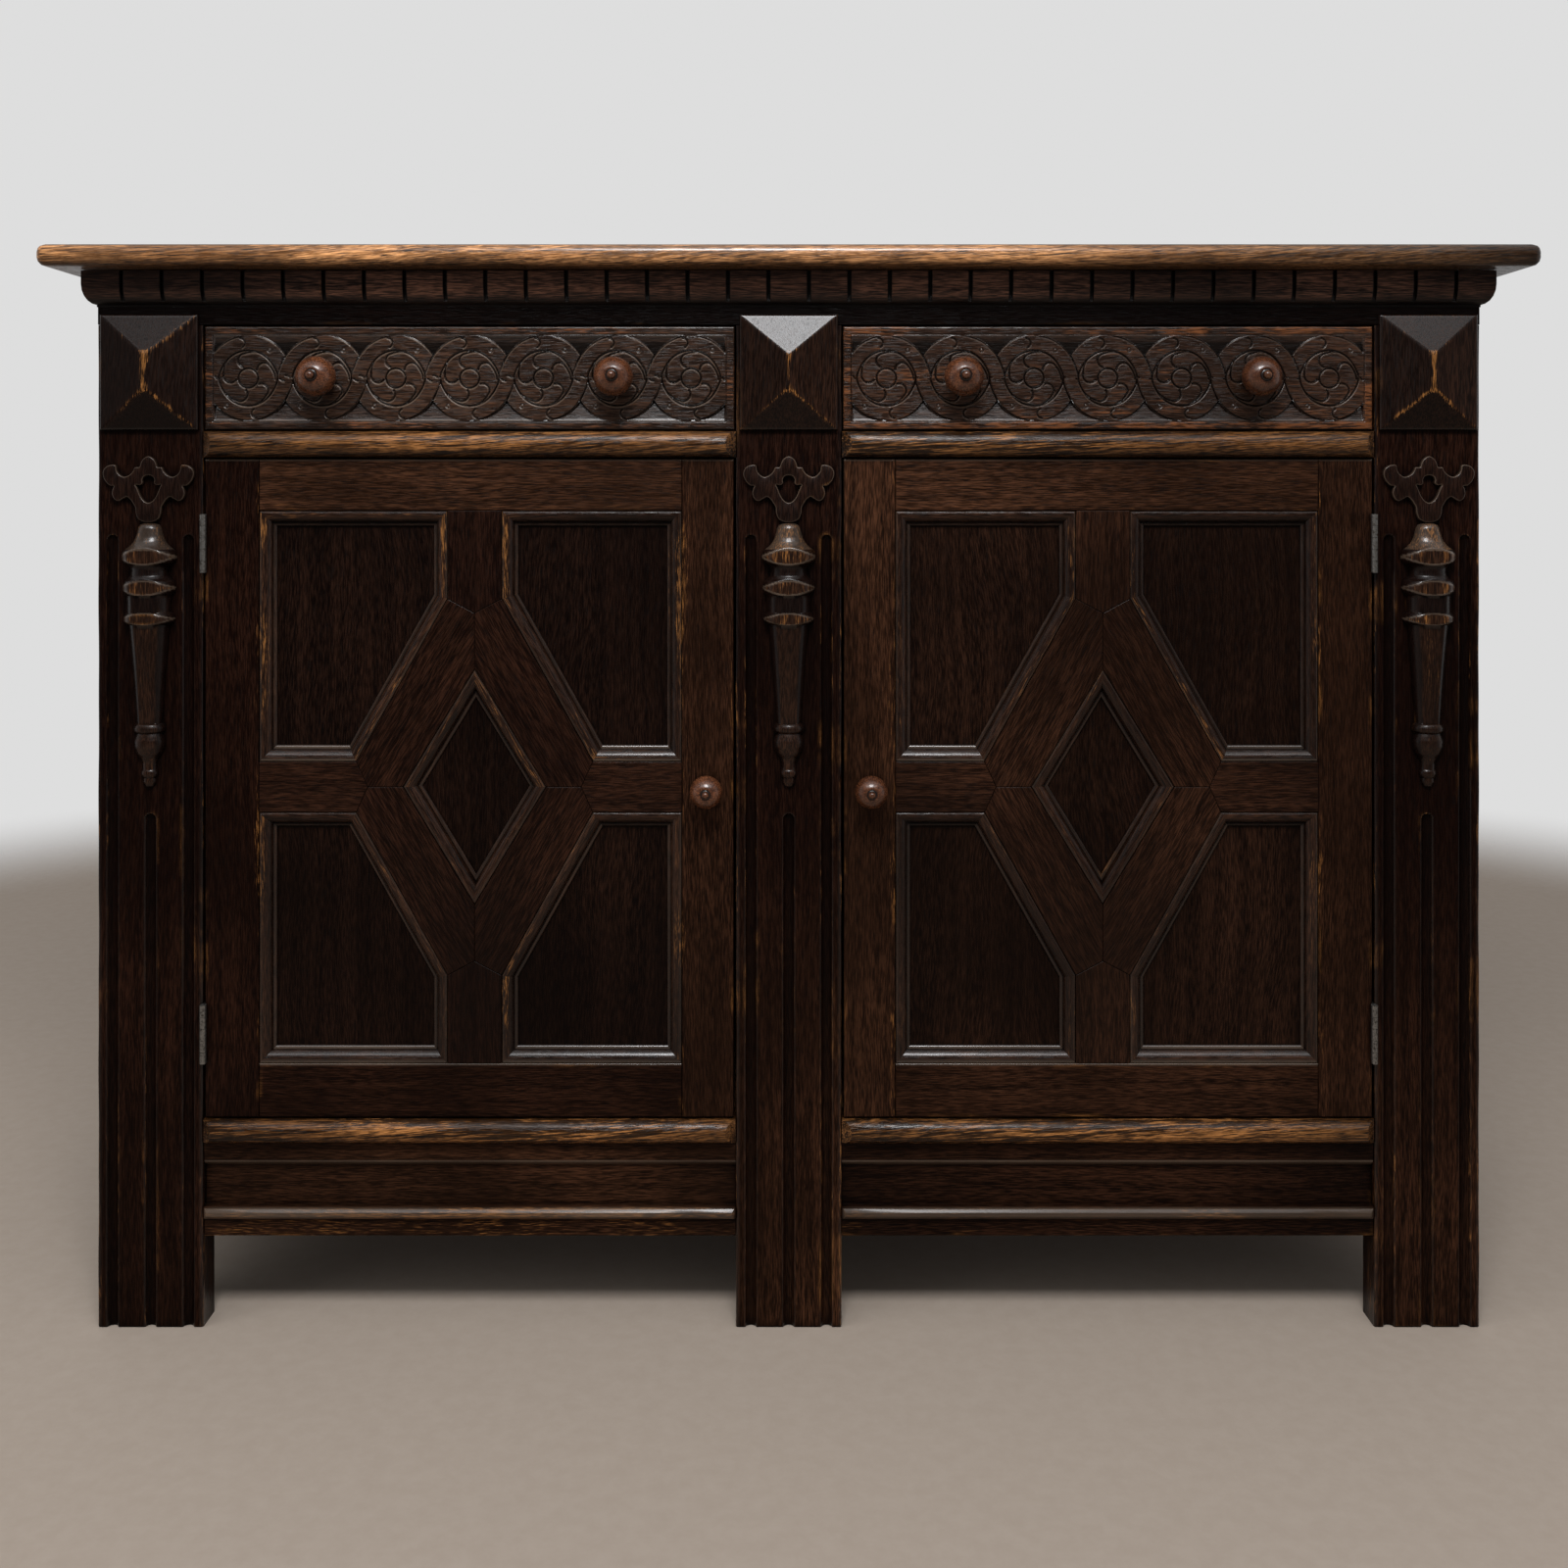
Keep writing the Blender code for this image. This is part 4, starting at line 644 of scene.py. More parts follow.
def front_post(label):
    """A post with its three flutes, its corners worn round by different amounts along its length."""
    node = label + "_front_post"
    low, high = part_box(node)
    reveal = LEAF_REVEAL if label in SIDES else 0.0
    xs = sampled(low.x + reveal, high.x - reveal, POST_FINE, POST_CORNER)
    near_ends = [np.arange(top - FLUTE_END_BELOW, top + FLUTE_END_ABOVE, FLUTE_END_STEP)
                 for top in (MIDDLE_FLUTE_TOP, SIDE_FLUTE_TOP)]
    zs = np.unique(np.concatenate([sampled(low.z, high.z, POST_COARSE, POST_FOOT), *near_ends]))
    x, z = np.meshgrid(xs, zs)
    centre = POSTS[label]
    depth = np.zeros_like(x)
    lips = np.zeros_like(x)
    for step in (-1, 0, 1):
        top = SIDE_FLUTE_TOP if step else MIDDLE_FLUTE_TOP
        middle = centre + step * FLUTE_SPACING
        depth = np.maximum(depth, flute_depth(x, z, middle, top))
        past_end = np.maximum(z - (top - FLUTE_WIDTH / 2), 0.0)
        off_lip = np.abs(np.hypot(x - middle, past_end) - FLUTE_WIDTH / 2)
        lips = np.maximum(lips, FLUTE_LIP_WEAR * rising(off_lip, FLUTE_LIP_REACH, 0.0))
    # Painted shade in the flutes' hollows
    soot = FLUTE_SHADE * rising(depth, 0.0, FLUTE_SHADE_DEPTH)
    from_side = np.minimum(x - xs[0], xs[-1] - x)
    lips = np.maximum(lips, CORNER_WEAR * rising(from_side, CORNER_REACH, 0.0))
    uneven = 1.0 + sum(swing * np.sin(pace * z + shift * centre) for swing, pace, shift in CORNER_WAVES)
    corner = POST_CORNER * np.clip(uneven, *CORNER_PLAY) / CORNER_FULL
    depth = depth + corner_drop(x - xs[0], corner) + corner_drop(xs[-1] - x, corner)
    depth = depth + corner_drop(z - zs[0], np.full_like(z, POST_FOOT))
    mesh = relief_board(node, xs, zs, low.y, high.y, depth)
    paint_front(mesh, worn=lips, sooty=soot, polished=LIP_TO_POLISH * lips,
                russet=FOOT_RUSSET[label] * rising(z, FOOT_REACH, 0.0))
    new_piece(node + "_fluted", mesh, oak("frame", "upright"), node)


# Carved drawer fronts
ROUNDEL_PITCH = 0.0643
ROUNDEL_COUNT = 7
ROUNDEL_RADIUS = 0.0372
RING_RADIUS = 0.0241
BUTTON_RADIUS = 0.0085
CARVING_STEP = 0.00045
DRAWER_ROUND = 0.0018
DRAWER_LOOK = {"left": {"wear": 1.0, "glint": 1.0, "russet": 0.10},
               "right": {"wear": 1.7, "glint": 0.6, "russet": 0.50}}
# Shares of wear, painted shade, painted highlight and polish on the carving, and the depths that part its face
# from its cuts
BORDER_WEAR = 0.20
FACE_WEAR = 0.12
FACE_DEPTH = 0.0004
SUNK_DEPTH = 0.0020
CUT_SHADE = 0.30
SUNK_SHADE = 0.85
CUT_HIGHLIGHT = 0.55
CUT_POLISH = 0.75
CUT_SHADE_DEPTHS = (0.0006, 0.0016)
CUT_HIGHLIGHT_CLEAR = 0.0012
CUT_HIGHLIGHT_RISE = 0.0009
CUT_HIGHLIGHT_DEPTH = 0.0008
CUT_LIP_DEPTHS = (0.0022, 0.0014)
LIP_CELLS = 3
# The carver's cuts; a pair is a cut's width and depth
FAR_OFF = 1.0
VEINER_WIDTH = 0.0021
VEINER_DEPTH = 0.0019
BORDER = 0.0078
BORDER_BANK = 0.0010
BORDER_LINE = 0.0006
BORDER_CUT = (0.0014, 0.0008)
SPANDREL_SHALLOW = 0.0008
SPANDREL_DEEP = 0.0050
SPANDREL_BREAK = 0.45
BAND_BANK = 0.0007
UNDER_DIP = 0.0008
UNDER_REACH = 0.016
UNDER_CURVE = 1.5
STRAND_SWELL = (ROUNDEL_PITCH - ROUNDEL_RADIUS - RING_RADIUS) / 2
SWELL_HEIGHT = 0.008
SWELL_START = 0.012
SWELL_RUN = 0.010
# Where two bands cross, the upper one's edge is cut fainter, and faintest on the left drawer
CROSSING_FADE = 0.016
CROSSING_LEAST = {-1: 0.30, 1: 0.80}
HOOKS = 5
HOOK_TURN = math.radians(28.0)
HOOK_RADIUS = 0.0061
HOOK_CENTRE = 0.0156
HOOK_SWEEP = (-0.15, 2.75)
HOOK_TAIL = 0.55
HOOK_CUT = (0.0019, 0.0018)
HOOK_CUT_SWELL = 0.0009
HOOK_SWELL_TURN = 2.0
# Bearings on a roundel's band of its punched rings and of its crescents
RING_BEARINGS = (0.92, 4.05)
CRESCENT_BEARINGS = (0.06, 1.80, 3.20, 4.94)
PUNCH_RADIUS = 0.0016
PUNCH_CUT = (0.0014, 0.0009)
CRESCENT_RADIUS = 0.0042
CRESCENT_CUT = (0.0022, 0.0016)
CRESCENT_OUT = 0.0008
CRESCENT_OPEN = -0.1


def veined(distance, width=VEINER_WIDTH, depth=VEINER_DEPTH):
    """A narrow V cut along a line, from the distance to that line."""
    return depth * np.clip(1.0 - np.abs(distance) / (width / 2), 0.0, 1.0)


def whirl(u, v):
    """The five hooked petals round a roundel's button, with the button's own line."""
    radius, angle = np.hypot(u, v), np.arctan2(v, u)
    cut = veined(radius - BUTTON_RADIUS)
    for hook in range(HOOKS):
        middle = HOOK_TURN + hook * math.tau / HOOKS
        du = u - HOOK_CENTRE * math.cos(middle)
        dv = v - HOOK_CENTRE * math.sin(middle)
        bearing = np.mod(np.arctan2(dv, du) - middle + math.pi, math.tau) - math.pi
        on_hook = (bearing > HOOK_SWEEP[0]) & (bearing < HOOK_SWEEP[1])
        arc = np.where(on_hook, np.hypot(du, dv) - HOOK_RADIUS, FAR_OFF)
        late = np.mod(middle - angle, math.tau)
        tail_radius = HOOK_CENTRE + HOOK_RADIUS + (RING_RADIUS - HOOK_CENTRE - HOOK_RADIUS) * late / HOOK_TAIL
        tail = np.where(late < HOOK_TAIL, radius - tail_radius, FAR_OFF)
        width = HOOK_CUT[0] + HOOK_CUT_SWELL * rising(bearing, 0.0, HOOK_SWELL_TURN)
        cut = np.maximum(cut, np.maximum(veined(arc, width, HOOK_CUT[1]), veined(tail)))
    return np.where(radius < RING_RADIUS, cut, 0.0)


def band_marks(u, v):
    """Crescents and punched rings on a roundel's band."""
    cut = np.zeros_like(u)
    middle = (RING_RADIUS + ROUNDEL_RADIUS) / 2
    for bearing in RING_BEARINGS:
        off = np.hypot(u - middle * math.cos(bearing), v - middle * math.sin(bearing))
        cut = np.maximum(cut, veined(off - PUNCH_RADIUS, *PUNCH_CUT))
    for bearing in CRESCENT_BEARINGS:
        du = u - (middle + CRESCENT_OUT) * math.cos(bearing)
        dv = v - (middle + CRESCENT_OUT) * math.sin(bearing)
        facing = np.cos(np.arctan2(dv, du) - bearing - math.pi / 2) < CRESCENT_OPEN
        arc = veined(np.hypot(du, dv) - CRESCENT_RADIUS, *CRESCENT_CUT)
        cut = np.maximum(cut, np.where(facing, arc, 0.0))
    return cut


def round_reach(u, v):
    """The distance from a roundel's middle, its sides swelling a little so that the strands join smoothly."""
    outward = np.clip((np.abs(u) - SWELL_START) / SWELL_RUN, 0.0, 1.0)
    swell = STRAND_SWELL * np.exp(-(v / SWELL_HEIGHT) ** 2) * outward
    return np.hypot(np.abs(u) - swell, v)


def guilloche(u, v, half_height, hand):
    """The carving's depth: interlaced bands round whirls, with sunk spandrels between them."""
    half_count = (ROUNDEL_COUNT - 1) / 2
    nearest = np.clip(np.round(u / ROUNDEL_PITCH), -half_count, half_count)
    own_u = u - nearest * ROUNDEL_PITCH
    radius = round_reach(own_u, v)
    toward = np.where(own_u >= 0, 1.0, -1.0)
    has_next = np.abs(nearest + toward) <= half_count
    next_radius = np.where(has_next, round_reach(own_u - toward * ROUNDEL_PITCH, v), FAR_OFF)
    own_is_over = np.where(toward * hand > 0, v > 0, v < 0) | ~has_next
    inside_own = radius < ROUNDEL_RADIUS
    inside_next = next_radius < ROUNDEL_RADIUS
    clear = ~(inside_own | inside_next)
    reach = np.clip(np.abs(v) / half_height, 0.0, 1.0)
    slope = SPANDREL_DEEP + (SPANDREL_SHALLOW - SPANDREL_DEEP) * rising(reach, SPANDREL_BREAK, 1.0)
    bank = rising(np.minimum(radius, next_radius) - ROUNDEL_RADIUS, 0.0, BAND_BANK)
    depth = np.where(clear, slope * bank, 0.0)
    away = next_radius - ROUNDEL_RADIUS
    dip = UNDER_DIP * np.clip(1.0 - away / UNDER_REACH, 0.0, 1.0) ** UNDER_CURVE
    tucked = inside_own & ~own_is_over & (away > 0) & (radius > RING_RADIUS)
    depth = np.where(tucked, dip, depth)
    covered = inside_next & ~own_is_over
    lines = np.where(covered, 0.0, np.maximum(veined(radius - RING_RADIUS), whirl(own_u, v)))
    lines = np.maximum(lines, np.where(inside_own & ~covered, band_marks(own_u, v), 0.0))
    upper_edge = np.where(own_is_over, radius, next_radius) - ROUNDEL_RADIUS
    faint = np.clip(np.abs(v) / CROSSING_FADE, CROSSING_LEAST[hand], 1.0)
    lines = np.maximum(lines, np.where(inside_own | inside_next, faint * veined(upper_edge), 0.0))
    lines = np.maximum(lines, np.where(covered, veined(next_radius - RING_RADIUS), 0.0))
    return depth + lines


def drawer_front(label, side):
    """A drawer front with a plain border and the carved guilloche sunk between its beads."""
    node = label + "_drawer_front"
    low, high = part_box(node)
    xs = sampled(low.x, high.x, CARVING_STEP, DRAWER_ROUND)
    zs = sampled(low.z, high.z, CARVING_STEP, DRAWER_ROUND)
    x, z = np.meshgrid(xs, zs)
    u, v = x - (low.x + high.x) / 2, z - (low.z + high.z) / 2
    half_width, half_height = (high.x - low.x) / 2, (high.z - low.z) / 2
    edge = np.minimum(half_width - np.abs(u), half_height - np.abs(v))
    inside = edge - BORDER
    carving = guilloche(u, v, half_height - BORDER, side)
    depth = np.where(inside > 0, carving * rising(inside, 0.0, BORDER_BANK), 0.0)
    depth = depth + veined(inside + BORDER_LINE, *BORDER_CUT)
    depth = depth + corner_drop(edge, np.full_like(edge, DRAWER_ROUND))
    mesh = relief_board(node, xs, zs, low.y, high.y, depth)
    look = DRAWER_LOOK[label]
    worn = look["wear"] * (BORDER_WEAR * (inside < 0) + FACE_WEAR * (depth < FACE_DEPTH))
    # Painted shade in the cuts, darkest in the deep upper spandrels, which face down
    soot = rising(depth, *CUT_SHADE_DEPTHS) * np.where(inside > 0, CUT_SHADE, 0.0)
    soot = np.where((depth > SUNK_DEPTH) & (v > 0), SUNK_SHADE, soot)
    # A painted highlight on the lip just below each cut
    cut = carving * (inside > CUT_HIGHLIGHT_CLEAR)
    below = np.roll(cut, -LIP_CELLS, axis=0) - cut
    rim = CUT_HIGHLIGHT * rising(below, 0.0, CUT_HIGHLIGHT_RISE) * (cut < CUT_HIGHLIGHT_DEPTH)
    lip = rising(depth, 0.0, FACE_DEPTH) * rising(depth, *CUT_LIP_DEPTHS)
    paint_front(mesh, worn=worn, sooty=soot, polished=CUT_POLISH * look["glint"] * lip,
                rimmed=look["glint"] * rim)
    paint(mesh, russet=look["russet"])
    new_piece(node + "_carved", mesh, oak("carved", "level"), node)


# Pyramid blocks
PYRAMID_EDGE = 0.004
PYRAMID_RIDGE = 0.028
PYRAMID_STEP = 0.0010
PYRAMID_ROUND = 0.0012
RIDGE_SOFTNESS = 0.02
RIDGE_TOP = 0.985
# How bare the lower and the upper hips are, how dark the painted shade on the lower and left facets is, and how
# shiny each part is
HIP_BARE = (0.60, 0.30)
LOWER_FACET_SHADE = 0.62
LEFT_FACET_SHADE = 0.40
FACET_SHINE = 0.06
HIP_SHINE = 0.4
EDGE_SHINE = 0.5
HIP_SHINE_SPREAD = 0.04
# How wear fades along a hip, how it flares along the ridge and where it ends, and how it lifts the painted
# shade
HIP_FADE = (1.15, 0.7)
RIDGE_FLARE = 0.20
RIDGE_FLARE_START = 0.2 * PYRAMID_RIDGE
RIDGE_WEAR_END = 0.66 * PYRAMID_RIDGE
HIP_TO_RIDGE = 0.70
SHADE_LIFTED_BY_WEAR = 2.0
# How wide each block's ridge is rubbed
RIDGE_WEAR = {"left": 0.0034, "centre": 0.0012, "right": 0.0022}
BLOCK_RUSSET = {"left": 0.16, "centre": 0.34, "right": 0.26}
BLOCK_SHINE = {"left": 0.03, "centre": 0.16, "right": 0.12}
HIP_SPREAD = {"left": 0.10, "centre": 0.06, "right": 0.08}
RIDGE_BARE = {"left": 0.80, "centre": 0.62, "right": 0.55}


def pyramid_block(label):
    """A hipped block, its ridges rubbed bare and its lowest hips most."""
    node = label + "_pyramid_block"
    low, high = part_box(node)
    xs = sampled(low.x, high.x, PYRAMID_STEP, PYRAMID_ROUND)
    zs = sampled(low.z, high.z, PYRAMID_STEP, PYRAMID_ROUND)
    x, z = np.meshgrid(xs, zs)
    half_width, half_height = (high.x - low.x) / 2, (high.z - low.z) / 2
    u, v = np.abs(x - (low.x + high.x) / 2), z - (low.z + high.z) / 2
    from_side = (half_width - u) / half_width
    from_end = (half_height - np.abs(v)) / (half_height - PYRAMID_RIDGE / 2)
    least = np.minimum(from_side, from_end)
    gap = np.abs(from_side - from_end)
    soft = least - 0.5 * RIDGE_SOFTNESS * np.exp(-gap / RIDGE_SOFTNESS)
    rise = (high.y - low.y) - PYRAMID_EDGE
    depth = rise * (1.0 - np.clip(soft, 0.0, RIDGE_TOP))
    edge = np.minimum(half_width - u, half_height - np.abs(v))
    depth = depth + corner_drop(edge, np.full_like(edge, PYRAMID_ROUND))
    mesh = relief_board(node, xs, zs, low.y, high.y, depth)
    on_hip = np.exp(-(gap / HIP_SPREAD[label]) ** 2) * np.where(v < 0, *HIP_BARE)
    on_hip = on_hip * np.clip(HIP_FADE[0] - HIP_FADE[1] * u / half_width, 0.0, 1.0)
    flare = RIDGE_WEAR[label] + RIDGE_FLARE * np.maximum(np.abs(v) - RIDGE_FLARE_START, 0.0)
    on_ridge = np.exp(-(u / flare) ** 2) * (np.abs(v) < RIDGE_WEAR_END) * RIDGE_BARE[label]
    end_facet = from_end < from_side
    left_facet = ~end_facet & (x < (low.x + high.x) / 2)
    # Painted shade on the lower and the left facets, less where they are worn
    soot = np.where(end_facet & (v < 0), LOWER_FACET_SHADE, np.where(left_facet, LEFT_FACET_SHADE, 0.0))
    rubbed = np.maximum(on_hip * RIDGE_BARE[label] / HIP_TO_RIDGE, on_ridge)
    shine = np.where(end_facet & (v > 0), BLOCK_SHINE[label], FACET_SHINE)
    shine = shine + HIP_SHINE * np.exp(-(gap / HIP_SHINE_SPREAD) ** 2) * (v > 0)
    shine = np.minimum(shine + EDGE_SHINE * np.exp(-(edge / PYRAMID_ROUND) ** 2), 1.0)
    soot = soot * np.clip(1.0 - SHADE_LIFTED_BY_WEAR * rubbed, 0.0, 1.0)
    paint_front(mesh, worn=rubbed, sooty=soot, polished=shine)
    paint(mesh, russet=BLOCK_RUSSET[label])
    new_piece(node + "_hipped", mesh, oak("ornament", "upright"), node)


# Fretted crests: the right half's outline and the keyhole's, from the post's middle and the crest's foot
CREST_HALF = (
    (0.0000, 0.0000), (0.0042, 0.0006), (0.0088, 0.0031), (0.0109, 0.0081), (0.0114, 0.0131), (0.0134, 0.0168),
    (0.0156, 0.0200), (0.0188, 0.0222), (0.0222, 0.0206), (0.0262, 0.0186), (0.0298, 0.0205), (0.0316, 0.0250),
    (0.0308, 0.0296), (0.0299, 0.0318), (0.0336, 0.0322), (0.0378, 0.0366), (0.0396, 0.0420), (0.0384, 0.0466),
    (0.0346, 0.0496), (0.0288, 0.0500), (0.0275, 0.0452), (0.0252, 0.0418), (0.0211, 0.0397), (0.0163, 0.0415),
    (0.0131, 0.0450), (0.0118, 0.0479), (0.0078, 0.0483), (0.0068, 0.0512), (0.0046, 0.0552), (0.0000, 0.0577))
KEYHOLE_HALF = (
    (0.0000, 0.0172), (0.0036, 0.0188), (0.0068, 0.0230), (0.0098, 0.0302), (0.0110, 0.0328), (0.0072, 0.0324),
    (0.0050, 0.0342), (0.0052, 0.0372), (0.0036, 0.0400), (0.0000, 0.0410))
CREST_ROUND = 0.0010
CREST_PART_WAY = 0.3 * CREST_ROUND
CREST_HIGHLIGHTS = (0.2, 0.6)
CREST_RUSSET = 0.12
CREST_POLISH = 0.1


def whole_outline(half, centre, foot):
    """A closed outline from its right half, rounded between its points."""
    ring = list(half) + [(-u, v) for u, v in reversed(half[1:-1])]
    count = len(ring)
    smooth = []
    for i in range(count):
        before, start, end, after = (Vector(ring[(i + step) % count]) for step in (-1, 0, 1, 2))
        for share in (0.0, 0.25, 0.5, 0.75):
            curve = 2 * start + (end - before) * share + (2 * before - 5 * start + 4 * end - after) * share ** 2
            curve += (3 * start - before - 3 * end + after) * share ** 3
            smooth.append((centre + curve.x / 2, foot + curve.y / 2))
    return smooth


def stepped_in(ring, distance):
    """A closed ring of points moved to its left by a distance."""
    moved = []
    for before, here, after in zip(ring[-1:] + ring[:-1], ring, ring[1:] + ring[:1]):
        run = (Vector(after) - Vector(before)).normalized()
        moved.append((here[0] - run.y * distance, here[1] + run.x * distance))
    return moved


def crest(label):
    """A fretted crest with a keyhole, cut from thin board, its arrises rounded and given a painted highlight.
    """
    node = label + "_crest"
    low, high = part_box(node)
    # From the back to the face: inward, y, and how strong the painted highlight on the rim is
    steps = ((0.0, high.y, 0.0), (0.0, low.y + CREST_ROUND, CREST_HIGHLIGHTS[0]),
             (CREST_PART_WAY, low.y + CREST_PART_WAY, CREST_HIGHLIGHTS[1]), (CREST_ROUND, low.y, 0.0))
    bm = bmesh.new()
    rimmed = bm.verts.layers.float.new("rimmed")
    back_edges, front_edges = [], []
    for half in (CREST_HALF, KEYHOLE_HALF):
        outline = whole_outline(half, POSTS[label], low.z)
        if half is KEYHOLE_HALF:
            outline.reverse()
        rings = []
        for inward, y, share in steps:
            ring = [bm.verts.new((x, y, z)) for x, z in stepped_in(outline, inward)]
            for vert in ring:
                vert[rimmed] = share
            rings.append(ring)
        for outer, inner in zip(rings, rings[1:]):
            for i in range(len(outer)):
                bm.faces.new((outer[i - 1], outer[i], inner[i], inner[i - 1]))
        back_edges += [bm.edges.get((rings[0][i - 1], rings[0][i])) for i in range(len(outline))]
        front_edges += [bm.edges.get((rings[-1][i - 1], rings[-1][i])) for i in range(len(outline))]
    for edges in (back_edges, front_edges):
        bmesh.ops.triangle_fill(bm, use_beauty=True, edges=edges)
    bmesh.ops.recalc_face_normals(bm, faces=bm.faces)
    mesh = mesh_from(bm, node)
    paint(mesh, russet=CREST_RUSSET, polished=CREST_POLISH)
    new_piece(node + "_fretted", smoothed(mesh, 50.0), oak("ornament", "upright"), node)


# Split pendants
PENDANT_PROFILE = (
    (0.0, 0.0), (0.0055, 0.0003), (0.0084, 0.0016), (0.0100, 0.0042), (0.0109, 0.0082), (0.0120, 0.0122),
    (0.0136, 0.0158), (0.0162, 0.0192), (0.0194, 0.0219), (0.0220, 0.0234), (0.0231, 0.0256), (0.0234, 0.0290),
    (0.0230, 0.0324), (0.0216, 0.0346), (0.0184, 0.0360), (0.0164, 0.0384), (0.0158, 0.0420), (0.0164, 0.0456),
    (0.0186, 0.0484), (0.0212, 0.0502), (0.0224, 0.0528), (0.0227, 0.0560), (0.0223, 0.0590), (0.0210, 0.0612),
    (0.0196, 0.0626), (0.0193, 0.0700), (0.0194, 0.0772), (0.0206, 0.0788), (0.0216, 0.0810), (0.0219, 0.0832),
    (0.0215, 0.0854), (0.0200, 0.0870), (0.0176, 0.0882), (0.0166, 0.0990), (0.0152, 0.1150), (0.0136, 0.1350),
    (0.0121, 0.1560), (0.0110, 0.1735), (0.0128, 0.1752), (0.0139, 0.1778), (0.0136, 0.1806), (0.0112, 0.1826),
    (0.0122, 0.1850), (0.0136, 0.1892), (0.0132, 0.1944), (0.0112, 0.2000), (0.0078, 0.2042), (0.0064, 0.2080),
    (0.0062, 0.2140), (0.0072, 0.2156), (0.0076, 0.2180), (0.0066, 0.2204), (0.0054, 0.2216), (0.0058, 0.2250),
    (0.0040, 0.2286), (0.0, 0.2296))
PENDANT_TURNS = 44
PROFILE_PARTS = 3
PENDANT_SQUASH = 0.86
DISC_FLAT = 0.0160
# The worn lens on each disc: its drop, half its width and half its height
DISC_LENSES = ((0.0292, 0.0228, 0.0062), (0.0560, 0.0220, 0.0056), (0.0830, 0.0212, 0.0046))
# How far outside and inside a lens its rim of painted highlight reaches
LENS_HIGHLIGHT_REACH = (-0.22, 0.06)
LENS_RUSSET = 0.95
LENS_WEAR = 0.26
LENS_HIGHLIGHT = 0.80
RIM_POLISH = 0.50
BELL_FOOT = 0.0225
BELL_WEAR = 0.28
BELL_HIGHLIGHT = 0.34
BELL_POLISH = 0.34
TAPER_RUSSET = 0.60
TAPER_WEAR = 0.15
PENDANT_POLISH = 0.14
BARREL = (0.0626, 0.0780)
BARREL_FLAT = 0.0136
TAPER = (0.0880, 0.1745)
TAPER_FLATS = (0.0124, 0.0076)
# How near its planed flat a place on the taper counts as planed, and how squarely one on the tip faces front
NEAR_FLAT = 0.96
TIP_FRONT = 0.75


def pendant_flat(drop):
    """How far forward the turning's planed front stands, at a drop below its top."""
    if BARREL[0] <= drop <= BARREL[1]:
        return BARREL_FLAT
    if drop < TAPER[0]:
        return DISC_FLAT
    share = min(1.0, (drop - TAPER[0]) / (TAPER[1] - TAPER[0]))
    return TAPER_FLATS[0] + (TAPER_FLATS[1] - TAPER_FLATS[0]) * share if share < 1.0 else DISC_FLAT


def disc_lens(across, drop):
    """How far inside a disc's worn lens a place is: 1 in its middle, 0 at its edge, and less outside."""
    return max(1.0 - (across / half_width) ** 2 - abs(drop - middle) / half_height
               for middle, half_width, half_height in DISC_LENSES)


def pendant(label):
    """A turning split down its middle, its discs and its taper planed flat in front and worn there, with
    painted highlights round the lenses and on the bell.
    """
    node = label + "_pendant"
    low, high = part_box(node)
    bm = bmesh.new()
    worn, russet, rimmed, polished = (bm.verts.layers.float.new(name)
                                      for name in ("worn", "russet", "rimmed", "polished"))
    rows = []
    profile = []
    for upper, lower in zip(PENDANT_PROFILE, PENDANT_PROFILE[1:]):
        profile += [Vector(upper).lerp(Vector(lower), part / PROFILE_PARTS) for part in range(PROFILE_PARTS)]
    for radius, drop in (*profile, PENDANT_PROFILE[-1]):
        flat = pendant_flat(drop)
        row = []
        for turn in range(PENDANT_TURNS + 1):
            angle = math.pi * turn / PENDANT_TURNS
            full = PENDANT_SQUASH * radius * math.sin(angle)
            out = min(full, flat)
            vert = bm.verts.new((POSTS[label] - radius * math.cos(angle), high.y - out, high.z - drop))
            lens = disc_lens(radius * math.cos(angle), drop)
            on_tip = drop > TAPER[1] and math.sin(angle) > TIP_FRONT
            planed = drop > TAPER[0] and (full > flat * NEAR_FLAT or on_tip)
            if lens > 0.0:
                vert[russet], vert[worn] = LENS_RUSSET, LENS_WEAR
            else:
                vert[russet] = TAPER_RUSSET * planed
                vert[worn] = BELL_WEAR * (drop < BELL_FOOT) + TAPER_WEAR * planed * math.sin(angle) ** 2
            # Painted highlights on the lenses' rims and on the bell
            if LENS_HIGHLIGHT_REACH[0] < lens < LENS_HIGHLIGHT_REACH[1]:
                vert[rimmed], vert[polished] = LENS_HIGHLIGHT, RIM_POLISH
            elif drop < BELL_FOOT:
                vert[rimmed], vert[polished] = BELL_HIGHLIGHT, BELL_POLISH
            else:
                vert[polished] = PENDANT_POLISH
            row.append(vert)
        rows.append(row)
    for upper, lower in zip(rows, rows[1:]):
        for i in range(PENDANT_TURNS):
            bm.faces.new((upper[i], lower[i], lower[i + 1], upper[i + 1]))
        bm.faces.new((upper[0], upper[-1], lower[-1], lower[0]))
    bmesh.ops.remove_doubles(bm, verts=bm.verts, dist=0.00001)
    bmesh.ops.recalc_face_normals(bm, faces=bm.faces)
    mesh = mesh_from(bm, node)
    new_piece(node + "_turned", smoothed(mesh, 45.0), oak("ornament", "upright"), node)


# Turned knobs
KNOB_TURNS = 48
KNOB_RING = (4, 7)
KNOB_RING_SHADE = 0.9
KNOB_POLISH = 0.4
